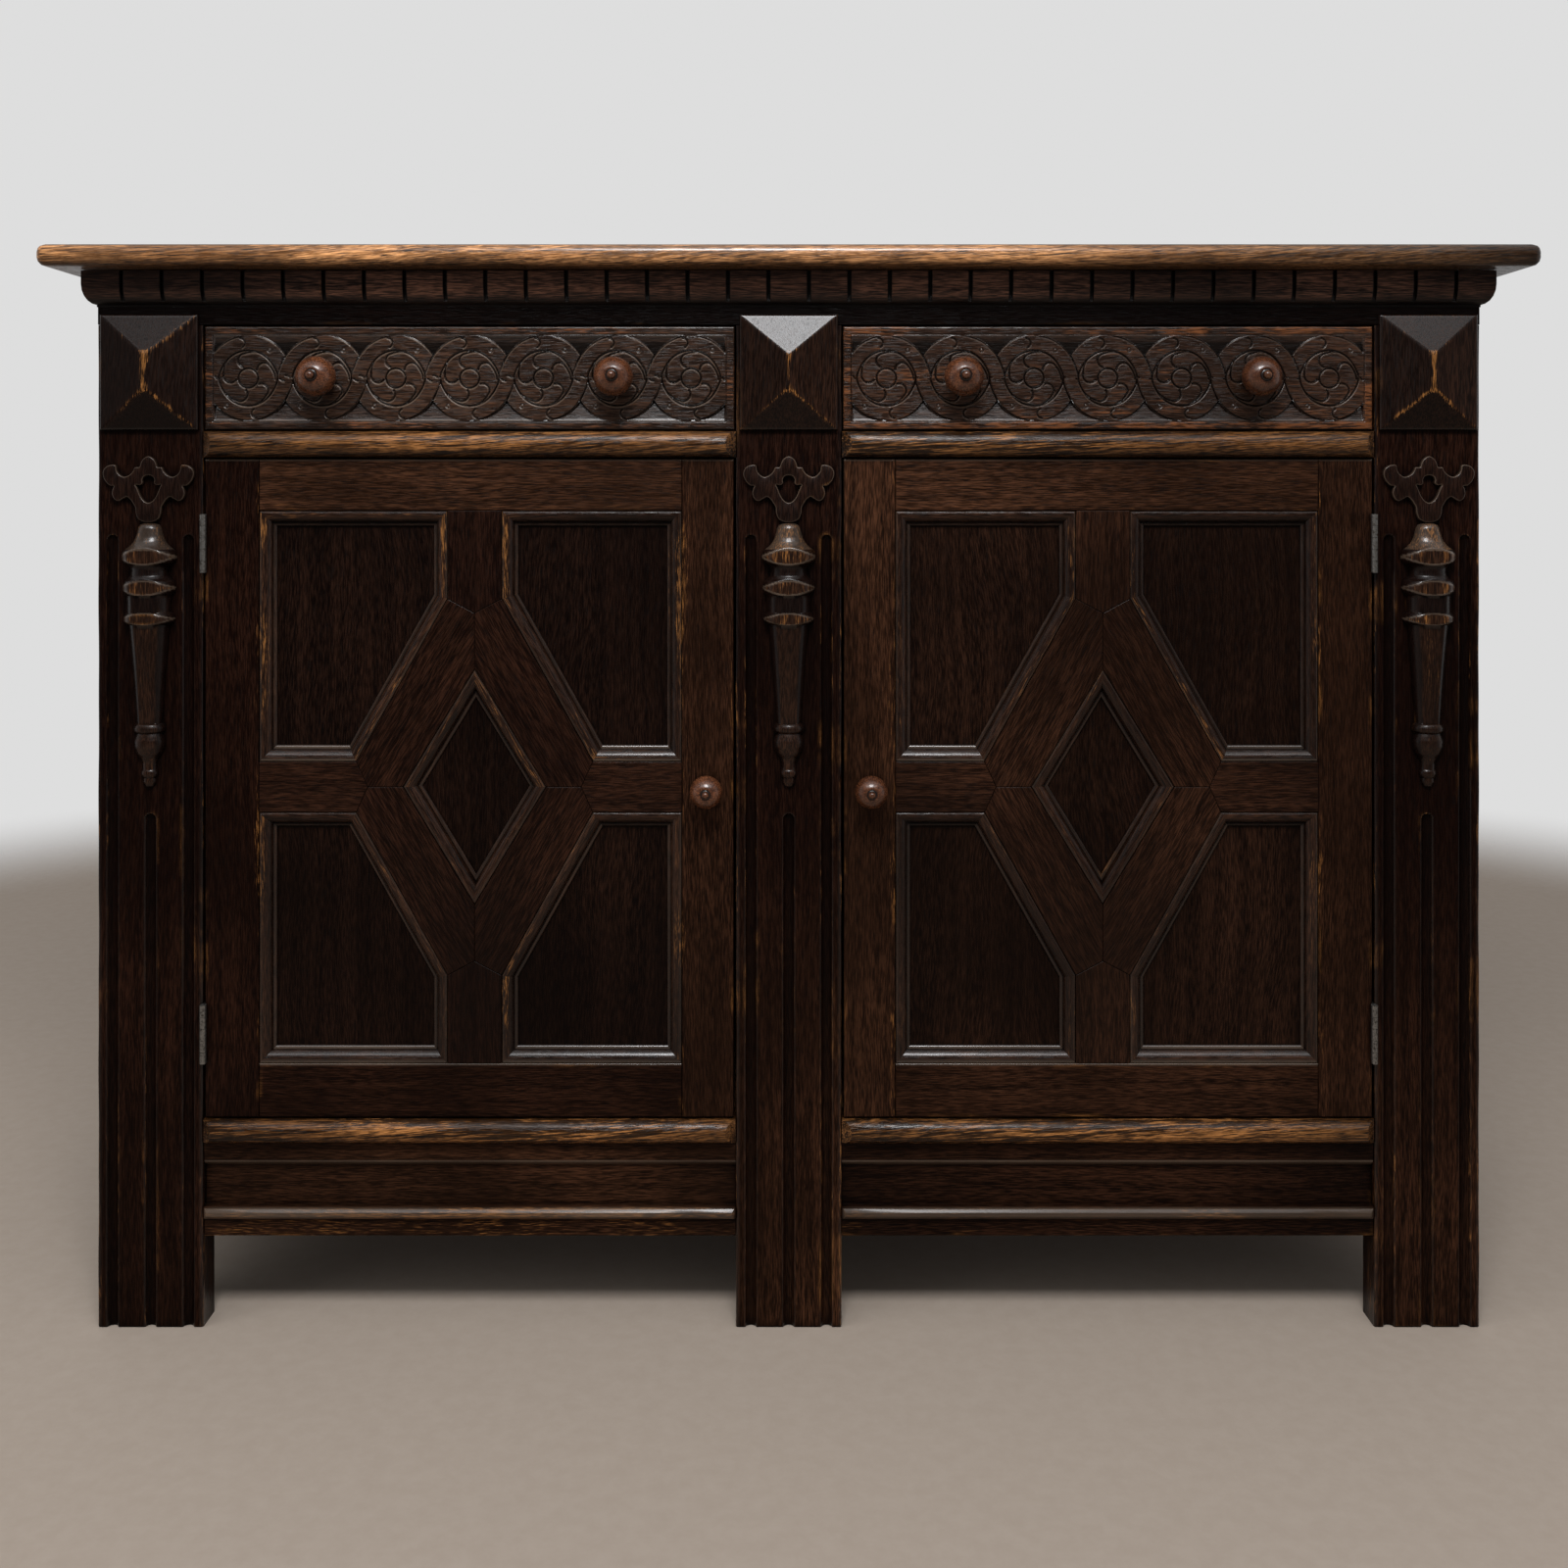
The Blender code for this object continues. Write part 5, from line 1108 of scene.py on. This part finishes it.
# All as shares of the knob's radius: the nipple with its dimple as radius and drop, the ball with the bearings
# it is turned at, the neck as radius and drop below the ball's middle, and the foot as radius and height
KNOB_NIPPLE = ((0.0, 0.0), (0.10, 0.02), (0.18, 0.08), (0.21, 0.16), (0.19, 0.25), (0.23, 0.36), (0.30, 0.38))
BALL_DROP = 1.22
BALL_HEIGHT = 0.92
BALL_BEARINGS = range(70, -57, -7)
KNOB_NECK = ((0.44, 0.86), (0.41, 0.98))
KNOB_FOOT = ((0.42, 0.42), (0.48, 0.34), (0.6402, 0.30), (0.6996, 0.20), (0.693, 0.10), (0.66, 0.0), (0.0, 0.0))


def knob_profile(radius, reach):
    """A ball on a ringed foot with a small nipple in a dimple, as (radius, height), top to bottom."""
    ball = reach - radius * BALL_DROP
    points = [(radius * share, reach - radius * drop) for share, drop in KNOB_NIPPLE]
    for angle in map(math.radians, BALL_BEARINGS):
        points.append((radius * math.cos(angle), ball + radius * BALL_HEIGHT * math.sin(angle)))
    points += [(radius * share, ball - radius * drop) for share, drop in KNOB_NECK]
    points += [(radius * share, radius * height) for share, height in KNOB_FOOT]
    return points


def knob(node):
    """A turned knob, polished by hands."""
    low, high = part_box(node)
    middle = (low + high) / 2
    radius = (high.z - low.z) / 2
    profile = knob_profile(radius, high.y - low.y)
    bm = bmesh.new()
    sooty = bm.verts.layers.float.new("sooty")
    bearings = [math.tau * turn / KNOB_TURNS for turn in range(KNOB_TURNS)]
    rings = [[bm.verts.new((r * math.cos(bearing), r * math.sin(bearing), h)) for bearing in bearings]
             for r, h in profile]
    # Painted shade in the groove round the nipple
    for ring in rings[KNOB_RING[0]:KNOB_RING[1]]:
        for vert in ring:
            vert[sooty] = KNOB_RING_SHADE
    for upper, lower in zip(rings, rings[1:]):
        for i in range(KNOB_TURNS):
            bm.faces.new((upper[i - 1], lower[i - 1], lower[i], upper[i]))
    bmesh.ops.remove_doubles(bm, verts=bm.verts, dist=0.00001)
    bmesh.ops.recalc_face_normals(bm, faces=bm.faces)
    turn = Matrix.Translation((middle.x, high.y, middle.z)) @ Matrix.Rotation(math.pi / 2, 4, "X")
    bmesh.ops.transform(bm, matrix=turn, verts=bm.verts)
    mesh = mesh_from(bm, node)
    paint(mesh, polished=KNOB_POLISH)
    new_piece(node + "_turned", smoothed(mesh, 60.0), oak("knob", "inward"), node)


# Doors
ARRIS_HINGE = 0.4615
ARRIS_KNOB = 0.0930
ARRIS_LOW = 0.2302
ARRIS_HIGH = 0.7118
LATTICE_MIDDLE = (0.27375, 0.471)
MUNTIN_HALF = 0.0235
MUNTIN_END = 0.164
MUNTIN_POINT = 0.1516
RAIL_HALF = 0.022
RAIL_END = 0.103
RAIL_POINT = 0.093
DIAMOND_HALF_WIDTH = 0.0625
DIAMOND_HALF_HEIGHT = 0.103
LATTICE_THICK = 0.009
JOINT_GAP = 0.00015
# The moulding's section, from its outer arris to the panel: inward and back
MOULDING_SECTION = (
    (0.0000, 0.0019), (0.0004, 0.0010), (0.0012, 0.0004), (0.0024, 0.0001), (0.0044, 0.0004), (0.0062, 0.0013),
    (0.0078, 0.0025), (0.0092, 0.0041), (0.0100, 0.0056), (0.0102, 0.0066), (0.0112, 0.0064), (0.0122, 0.0066),
    (0.0130, 0.0072), (0.0136, 0.0082), (0.0137, 0.0092))
# Shares of bare wood, painted highlight, polish and painted shade at each step of the section, and last on its
# back
MOULDING_BARE = (0.5, 1.0, 1.0, 1.0, 1.0, 0.8, 0.5, 0.2, 0.0, 0.0, 0.3, 0.3, 0.1, 0.0, 0.0, 0.0)
MOULDING_HIGHLIGHT = (0.0, 0.8, 0.8, 0.1, 0.0, 0.0, 0.0, 0.0, 0.0, 0.0, 0.5, 0.6, 0.2, 0.0, 0.0, 0.0)
MOULDING_POLISH = (0.8, 1.0, 1.0, 0.5, 0.2, 0.3, 0.4, 0.4, 0.3, 0.2, 0.9, 1.0, 0.9, 0.5, 0.0, 0.0)
MOULDING_SHADE = (1.0, 0.4, 0.0, 0.0, 0.0, 0.0, 0.2, 0.5, 0.8, 1.0, 0.5, 0.4, 0.6, 1.0, 1.0, 1.0)
# How worn the strips are on each door, and round its lower openings
STRIP_WEAR = {"left": 0.95, "right": 0.62}
LOWER_WEAR = 0.62
STRIP_BARE = {"level": 0.20, "upright": 0.42}
DIAGONAL_BARE = 0.34
DIAMOND_BARE = 0.22
STRIP_RUSSET = 0.30
STRIP_SHINE = 0.30
SILL_SHINE = 0.95
UNDER_RAIL_SHINE = 0.02
LEANING_HIGHLIGHT = 0.5
STRIP_HOLLOW_SHADE = 0.5
NEAR_LEVEL = math.radians(80.0)
NEAR_UPRIGHT = math.radians(10.0)


def inset(outline, distance):
    """A closed outline moved inward by a distance, its corners mitred."""
    moved = []
    centre = sum((Vector(p) for p in outline), Vector((0.0, 0.0))) / len(outline)
    for before, here, after in zip(outline[-1:] + outline[:-1], outline, outline[1:] + outline[:1]):
        first = (Vector(here) - Vector(before)).normalized()
        second = (Vector(after) - Vector(here)).normalized()
        inward = Vector((-first.y, first.x))
        if inward.dot(centre - Vector(here)) < 0:
            inward = -inward
        other = Vector((-second.y, second.x))
        if other.dot(centre - Vector(here)) < 0:
            other = -other
        mitre = (inward + other) / (1.0 + inward.dot(other))
        moved.append(Vector(here) + mitre * distance)
    return moved


def strip_grain(run):
    """The way the grain runs in a strip of moulding, from its run."""
    lean = abs(math.atan2(run.x, run.y))
    lean = min(lean, math.pi - lean)
    if lean > NEAR_LEVEL:
        return "level"
    if lean < NEAR_UPRIGHT:
        return "upright"
    return "rising" if run.x * run.y > 0 else "falling"


def moulding_strips(opening, wear, outline, holders):
    """The moulding round one opening, one mitred strip for each edge, on the piece that holds it."""
    rows = [inset(outline, inward) for inward, back in MOULDING_SECTION] + [inset(outline, 0.0)]
    backs = [FACE_Y + back for inward, back in (*MOULDING_SECTION, MOULDING_SECTION[-1])]
    count = len(rows)
    for edge, holder in enumerate(holders):
        after = (edge + 1) % len(outline)
        bm = bmesh.new()
        near, far = ([bm.verts.new((row[corner].x, back, row[corner].y)) for row, back in zip(rows, backs)]
                     for corner in (edge, after))
        for i in range(count):
            j = (i + 1) % count
            bm.faces.new((near[i], near[j], far[j], far[i]))
        bm.faces.new(near[::-1])
        bm.faces.new(far)
        bmesh.ops.recalc_face_normals(bm, faces=bm.faces)
        name = f"{opening}_moulding_{edge}"
        mesh = mesh_from(bm, name)
        grain = strip_grain(rows[0][after] - rows[0][edge])
        diagonal = DIAGONAL_BARE if len(outline) > 4 else DIAMOND_BARE
        bare = wear * STRIP_BARE.get(grain, diagonal)
        inward = rows[-2][edge] + rows[-2][after] - rows[0][edge] - rows[0][after]
        level = grain == "level"
        under_rail = level and inward.y < 0
        # Strips at the foot of an opening face up and get a painted highlight; those under a rail face down and
        # get painted shade
        shine = UNDER_RAIL_SHINE if under_rail else SILL_SHINE if level else STRIP_SHINE
        rim = shine if level else LEANING_HIGHLIGHT * shine
        strip_shade = 1.0 if under_rail else STRIP_HOLLOW_SHADE
        shares = {"worn": (bare, MOULDING_BARE), "sooty": (strip_shade, MOULDING_SHADE),
                  "polished": (shine, MOULDING_POLISH), "rimmed": (rim, MOULDING_HIGHLIGHT)}
        paint(mesh, russet=STRIP_RUSSET,
              **{key: most * np.tile(parts, 2) for key, (most, parts) in shares.items()})
        new_piece(name, smoothed(mesh, 42.0), oak("moulded", grain), holder)


LATTICE_POLISH = 0.06
LATTICE_EASE = 0.0009


def flat_member(name, node, outline, front_y, back_y, grain, russet=0.0, finish="lattice",
                width=LATTICE_EASE):
    """A flat member cut to an outline, with eased arrises that show its joints as fine lines."""
    bm = bmesh.new()
    front = [bm.verts.new((x, front_y, z)) for x, z in outline]
    back = [bm.verts.new((x, back_y, z)) for x, z in outline]
    bm.faces.new(front)
    bm.faces.new(back[::-1])
    for i in range(len(outline)):
        j = (i + 1) % len(outline)
        bm.faces.new((front[j], front[i], back[i], back[j]))
    bmesh.ops.recalc_face_normals(bm, faces=bm.faces)
    mesh = mesh_from(bm, name)
    paint(mesh, russet=russet, polished=LATTICE_POLISH if finish == "lattice" else 0.0)
    ease_arrises(new_piece(name, smoothed(mesh), oak(finish, grain), node), width, degrees=30.0)


LIT_ARRIS = 0.0022
LIT_SHARE = 0.7
BOARD_FINE = 0.0020
BOARD_COARSE = 0.012
BOARD_ROUND = 0.0012
BOARD_CORNER = 0.0010
BOARD_WAVE = 0.00012
# The two ripples that make it, by how close they are across and up
BOARD_RIPPLES = ((95.0, 7.0), (-9.0, 41.0))
# The part of a board's width over which its worn edge fades
EDGE_FADE = 0.2


def frame_board(node, low_x, high_x, low_z, high_z, grain, russet, worn_low, worn_high):
    """A stile or rail of a door: its face a little uneven, its long edges worn."""
    low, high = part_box(node)
    upright = grain == "upright"
    step_x, step_z = (BOARD_FINE, BOARD_COARSE) if upright else (BOARD_COARSE, BOARD_FINE)
    xs = sampled(low_x + JOINT_GAP, high_x - JOINT_GAP, step_x, BOARD_ROUND)
    zs = sampled(low_z + JOINT_GAP, high_z - JOINT_GAP, step_z, BOARD_ROUND)
    zs = np.unique(np.append(zs, zs[-1] - LIT_ARRIS))
    x, z = np.meshgrid(xs, zs)
    edge = np.minimum(np.minimum(x - xs[0], xs[-1] - x), np.minimum(z - zs[0], zs[-1] - z))
    depth = corner_drop(edge, np.full_like(edge, BOARD_CORNER))
    first, second = (np.sin(pace_x * x + pace_z * z) for pace_x, pace_z in BOARD_RIPPLES)
    depth += BOARD_WAVE * (1.0 + first * second)
    mesh = relief_board(node, xs, zs, low.y, high.y, depth)
    across = (x - xs[0]) / (xs[-1] - xs[0]) if upright else (z - zs[0]) / (zs[-1] - zs[0])
    worn = worn_low * rising(across, EDGE_FADE, 0.0) + worn_high * rising(across, 1.0 - EDGE_FADE, 1.0)
    # A painted highlight and polish along the board's top arris
    lit = LIT_SHARE * rising(zs[-1] - z, LIT_ARRIS, 0.0)
    paint(mesh, russet=russet)
    paint_front(mesh, worn=worn, polished=lit, rimmed=lit)
    new_piece(node + "_board", mesh, oak("frame", grain), node)


BACK_PLANKS = (0.17, 0.15, 0.18, 0.16, 0.19, 0.15)
PLANK_EASE = 0.0012


def planked_back():
    """The back as upright planks, their edges eased where they meet."""
    low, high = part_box("back_panel")
    start = low.x
    for number, share in enumerate(BACK_PLANKS):
        end = start + (high.x - low.x) * share / sum(BACK_PLANKS)
        left, right = start + JOINT_GAP, end - JOINT_GAP
        outline = [(left, low.z), (right, low.z), (right, high.z), (left, high.z)]
        flat_member(f"back_plank_{number}", "back_panel", outline, low.y, high.y, "upright", finish="inner",
                    width=PLANK_EASE)
        start = end


TOP_JOINTS = (0.36, 0.69)
TOP_EDGE = 0.030
FACING_UP = 0.9
# The front edge has painted shade underneath, and darkens toward its ends, from one place along it to another
TOP_SHADE = 0.008
TOP_UNDER_SHADE = 0.72
TOP_RIGHT = (-0.38 / 1.08, 0.62 / 1.08)
TOP_RIGHT_SOOT = 0.92
TOP_LEFT = (-0.22, -0.37)
TOP_LEFT_SOOT = 0.15
# It is polished about its middle
TOP_SHINE = 0.46
TOP_SHINE_PLACE = -0.05
TOP_SHINE_REACH = 0.20


def planked_top():
    """The top as three boards joined along their length, its edge golden and its upper face browner."""
    low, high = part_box("top_board")
    joints = [low.y + (high.y - low.y) * share for share in TOP_JOINTS]
    for number, (front, back) in enumerate(zip([low.y, *joints], [*joints, high.y])):
        bm = clean_copy("top_board")
        for joint, toward in ((front, -1), (back, 1)):
            if low.y < joint < high.y:
                face = (0.0, joint - toward * JOINT_GAP, 0.0)
                cut = cut_through(bm, face, (0.0, toward, 0.0), clear_outer=True)
                rim = [part for part in cut["geom_cut"] if isinstance(part, bmesh.types.BMEdge)]
                bmesh.ops.edgenet_fill(bm, edges=rim)
        cross_cut(bm, low.x, high.x)
        bmesh.ops.recalc_face_normals(bm, faces=bm.faces)
        mesh = mesh_from(bm, f"top_plank_{number}")
        x, y, z = places_on(mesh)
        at_front = y < low.y + TOP_EDGE
        soot = np.maximum(TOP_RIGHT_SOOT * rising(x, *TOP_RIGHT) ** 2, TOP_LEFT_SOOT * rising(x, *TOP_LEFT))
        # Painted shade toward the underside of the edge
        soot = np.maximum(soot * at_front, TOP_UNDER_SHADE * rising(z, low.z + TOP_SHADE, low.z))
        shine = TOP_SHINE * np.exp(-((x - TOP_SHINE_PLACE) / TOP_SHINE_REACH) ** 2)
        paint(mesh, sooty=soot, polished=shine * (at_front & (z > low.z + TOP_SHADE)))
        new_piece(f"top_plank_{number}", smoothed(mesh), oak("top", "slanting"), "top_board")
        mesh.materials.append(oak("table", "level"))
        for face in mesh.polygons:
            face.material_index = int(face.normal.z > FACING_UP)


HEIGHTS = {1: "upper", -1: "lower"}
HANDS = {1: "hinge", -1: "knob"}
# How worn each board is on its inner and on its outer edge, and how russet each member is
BOARD_WEAR = {"hinge_stile": (0.30, 0.0), "knob_stile": (0.34, 0.15), "top_rail": (0.2, 0.1),
              "bottom_rail": (0.1, 0.0)}
RUSSETS = {
    "left": {"hinge_stile": 0.04, "knob_stile": 0.60, "top_rail": 0.95, "bottom_rail": 0.20, "muntin": 0.03,
             "brace": 0.14, "middle_rail": 0.24},
    "right": {"hinge_stile": 0.52, "knob_stile": 0.72, "top_rail": 0.85, "bottom_rail": 0.50, "muntin": 0.45,
              "brace": 0.42, "middle_rail": 0.38}}


def door(label, side):
    """A geometric door: frame boards, eight lattice members, and mitred mouldings round five openings."""
    name = label + "_door"
    russets = RUSSETS[label]
    middle_u, middle_z = LATTICE_MIDDLE

    def placed(outline):
        return [(side * (middle_u + du), middle_z + dz) for du, dz in outline]

    def span(first, second):
        return sorted((side * first, side * second))

    hinge_low, hinge_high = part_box(name + "_hinge_stile")
    knob_low, knob_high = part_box(name + "_knob_stile")
    bottom, top = hinge_low.z, hinge_high.z
    hinge_edge = max(abs(hinge_low.x), abs(hinge_high.x))
    knob_edge = min(abs(knob_low.x), abs(knob_high.x))
    between = span(ARRIS_KNOB, ARRIS_HINGE)
    # Each board's reach across and up, its grain, and whether its inner edge is its lower one
    boards = {"hinge_stile": (span(ARRIS_HINGE, hinge_edge), (bottom, top), "upright", side > 0),
              "knob_stile": (span(knob_edge, ARRIS_KNOB), (bottom, top), "upright", side < 0),
              "top_rail": (between, (ARRIS_HIGH, top), "level", True),
              "bottom_rail": (between, (bottom, ARRIS_LOW), "level", False)}
    for board, (across, upward, grain, inner_is_low) in boards.items():
        wear = BOARD_WEAR[board] if inner_is_low else BOARD_WEAR[board][::-1]
        frame_board(f"{name}_{board}", *across, *upward, grain, russets[board], *wear)

    lattice = name + "_lattice"
    back_y = FACE_Y + LATTICE_THICK
    rises = {1: ARRIS_HIGH - middle_z, -1: ARRIS_LOW - middle_z}
    reaches = {1: ARRIS_HINGE - middle_u, -1: ARRIS_KNOB - middle_u}
    for up, rise in rises.items():
        muntin = [(-MUNTIN_HALF, rise), (MUNTIN_HALF, rise), (MUNTIN_HALF, up * MUNTIN_END),
                  (0.0, up * MUNTIN_POINT), (-MUNTIN_HALF, up * MUNTIN_END)]
        flat_member(f"{name}_{HEIGHTS[up]}_muntin", lattice, placed(muntin), FACE_Y, back_y, "upright",
                    russets["muntin"])
        for out in reaches:
            brace = [(0.0, up * MUNTIN_POINT), (out * MUNTIN_HALF, up * MUNTIN_END),
                     (out * RAIL_END, up * RAIL_HALF), (out * RAIL_POINT, 0.0), (out * DIAMOND_HALF_WIDTH, 0.0),
                     (0.0, up * DIAMOND_HALF_HEIGHT)]
            grain = "falling" if out * up * side > 0 else "rising"
            flat_member(f"{name}_{HEIGHTS[up]}_{HANDS[out]}_brace", lattice, placed(brace), FACE_Y, back_y,
                        grain, russets["brace"])
    for out, reach in reaches.items():
        rail = [(reach, RAIL_HALF), (reach, -RAIL_HALF), (out * RAIL_END, -RAIL_HALF), (out * RAIL_POINT, 0.0),
                (out * RAIL_END, RAIL_HALF)]
        flat_member(f"{name}_{HANDS[out]}_middle_rail", lattice, placed(rail), FACE_Y, back_y, "level",
                    russets["middle_rail"])

    wear = STRIP_WEAR[label]
    for up, rise in rises.items():
        rail = name + ("_top_rail" if up > 0 else "_bottom_rail")
        for out, reach in reaches.items():
            opening = [(reach, rise), (out * MUNTIN_HALF, rise), (out * MUNTIN_HALF, up * MUNTIN_END),
                       (out * RAIL_END, up * RAIL_HALF), (reach, up * RAIL_HALF)]
            holders = [rail, lattice, lattice, lattice, f"{name}_{HANDS[out]}_stile"]
            moulding_strips(f"{name}_{HEIGHTS[up]}_{HANDS[out]}", wear * (1.0 if up > 0 else LOWER_WEAR),
                            placed(opening), holders)
    diamond = [(DIAMOND_HALF_WIDTH, 0.0), (0.0, DIAMOND_HALF_HEIGHT), (-DIAMOND_HALF_WIDTH, 0.0),
               (0.0, -DIAMOND_HALF_HEIGHT)]
    moulding_strips(name + "_diamond", wear, placed(diamond), [lattice] * 4)


PANEL_RUSSET = {"left": 0.04, "right": 0.20}
HEAD_RAIL_SHADE = 0.85
# How dark each nose is: at its left end, in its middle, at its right end, and, as painted shade, underneath
NOSE_DARKENING = {"left_drawer_rail": (0.78, 0.40, 0.46, 0.90), "right_drawer_rail": (0.60, 0.40, 0.60, 0.90),
             "left_bottom_rail": (0.36, 0.0, 0.25, 0.0), "right_bottom_rail": (0.55, 0.12, 0.60, 0.08)}
# The parts of a nose's length between which its middle lies, and the part of its height that stays clear
NOSE_MIDDLE = (0.35, 0.65)
NOSE_CLEAR = 0.30


def eased_mesh(node):
    """The mesh of a piece that keeps its solid's shape."""
    return bpy.data.objects[node + "_eased"].data


def darken_nose(nose, left_end, middle, right_end, under):
    """Darkens a rail's nose toward its ends, and paints shade on its underside."""
    low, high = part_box(nose)
    x, y, z = places_on(eased_mesh(nose))
    shade = under * rising(z, high.z - NOSE_CLEAR * NOSED[nose], high.z - NOSED[nose])
    spots = [low.x, *(low.x + part * (high.x - low.x) for part in NOSE_MIDDLE), high.x]
    along = np.interp(x, spots, [left_end, middle, middle, right_end])
    paint(eased_mesh(nose), sooty=np.maximum(shade, along))


# How much the arrises are eased on each kind of wood
EASING = {"moulding_oak": 0.0006, "hinge_steel": 0.0, "inner_oak": 0.0008}
PLAIN_EASING = 0.0007

for post_label in POSTS:
    front_post(post_label)
    pyramid_block(post_label)
    crest(post_label)
    pendant(post_label)
planked_back()
planked_top()
for side_label, side_sign in SIDES.items():
    drawer_front(side_label, side_sign)
    door(side_label, side_sign)
for node_name in NODES:
    if "knob" in node_name and SLOT_OF[node_name] == "turned_oak":
        knob(node_name)
for node_name, node_object in NODES.items():
    if not node_object.hide_render:
        eased(node_name, EASING.get(SLOT_OF[node_name], PLAIN_EASING))
for side_label, russet_share in PANEL_RUSSET.items():
    paint(eased_mesh(side_label + "_door_panel"), russet=russet_share)
# The head rail is painted dark as shade under the frieze
paint(eased_mesh("head_rail"), sooty=HEAD_RAIL_SHADE)
for nose_name, soot_shares in NOSE_DARKENING.items():
    darken_nose(nose_name, *soot_shares)


# The floor is whole out to one distance from its middle, and gone at another
FLOOR_CLEAR = 1.9
FLOOR_END = 2.7
FLOOR_GREY = (0.325, 0.268, 0.220)
FLOOR_PALE = (0.350, 0.292, 0.242)
DAYLIGHT = (0.97, 0.98, 1.0)
ROOM_LIGHT = 0.42


def plain_stage():
    """A plain pale floor that fades into the pale room behind it."""
    bpy.ops.mesh.primitive_circle_add(vertices=96, radius=FLOOR_END, fill_type="NGON")
    floor = bpy.context.object
    floor.name = "floor"
    material, tree, shader, place = new_material("pale_floor")
    away = add_node(tree, "VectorMath", {0: place}, operation="LENGTH").outputs["Value"]
    grit = ramp(tree, noise(tree, place, scale=60.0, detail=5.0, roughness=0.7), low=0.25, high=0.75)
    feed(tree, shader, {"Alpha": ramp(tree, away, FLOOR_CLEAR, FLOOR_END, to_low=1.0, to_high=0.0),
                        "Base Color": blend(tree, grit, FLOOR_GREY, FLOOR_PALE), "Roughness": 0.75,
                        "Specular IOR Level": 0.1})
    floor.data.materials.append(material)


def lamp(name, place, aim, size, power, colour=DAYLIGHT, mirrored=True):
    """A soft rectangular lamp, seen in polished wood or not."""
    data = bpy.data.lights.new(name, "AREA")
    data.shape = "RECTANGLE"
    data.size, data.size_y = size
    data.energy = power
    data.color = colour
    holder = bpy.data.objects.new(name, data)
    bpy.context.scene.collection.objects.link(holder)
    holder.location = place
    holder.rotation_euler = (Vector(aim) - Vector(place)).to_track_quat("-Z", "Y").to_euler()
    holder.visible_glossy = mirrored


def studio():
    """Soft light from a ceiling in front of the piece, and a pale room."""
    world = bpy.data.worlds.new("pale_room")
    bpy.context.scene.world = world
    world.use_nodes = True
    tree = world.node_tree
    direction = add_node(tree, "TexCoord").outputs["Generated"]
    depth, height = add_node(tree, "SeparateXYZ", {0: direction}).outputs[1:3]
    wall = ramp(tree, depth, low=-0.85, high=0.10, to_low=0.09, to_high=0.73)
    tone = reckon(tree, "MAXIMUM", wall, ramp(tree, height, low=0.45, high=0.80))
    seen = add_node(tree, "Background", {"Color": tone, "Strength": 1.0})
    light = add_node(tree, "Background", {"Color": (*DAYLIGHT, 1.0), "Strength": ROOM_LIGHT})
    path = add_node(tree, "LightPath").outputs
    shown = reckon(tree, "MAXIMUM", path["Is Camera Ray"], path["Is Glossy Ray"])
    shown = reckon(tree, "MAXIMUM", shown, path["Is Transmission Ray"])
    mix = add_node(tree, "MixShader", {0: shown, 1: light.outputs[0], 2: seen.outputs[0]})
    tree.links.new(mix.outputs[0], tree.nodes["World Output"].inputs["Surface"])
    lamp("ceiling_lamp", place=(0.0, -1.75, 2.35), aim=(0.0, -0.2, 0.6), size=(0.85, 0.55), power=44.0)
    lamp("pale_ceiling", place=(0.0, -1.85, 2.55), aim=(0.0, -0.2, 0.6), size=(3.6, 0.6), power=26.0)
    lamp("window_left", place=(-2.4, -1.5, 1.7), aim=(0.0, 0.0, 0.5), size=(1.2, 1.6), power=16.0,
         colour=(0.96, 0.98, 1.0), mirrored=False)
    bpy.context.scene.view_settings.view_transform = "Standard"


def photograph_camera():
    """The level camera of the photograph, its lens dropped to frame the piece."""
    data = bpy.data.cameras.new("camera")
    data.lens = LENS
    data.sensor_width = SENSOR
    data.shift_x, data.shift_y = SHIFT
    data.clip_start, data.clip_end = 0.05, 60.0
    camera = bpy.data.objects.new("camera", data)
    bpy.context.scene.collection.objects.link(camera)
    camera.location = EYE
    camera.rotation_euler = (math.pi / 2, 0.0, 0.0)
    bpy.context.scene.camera = camera


plain_stage()
studio()
photograph_camera()
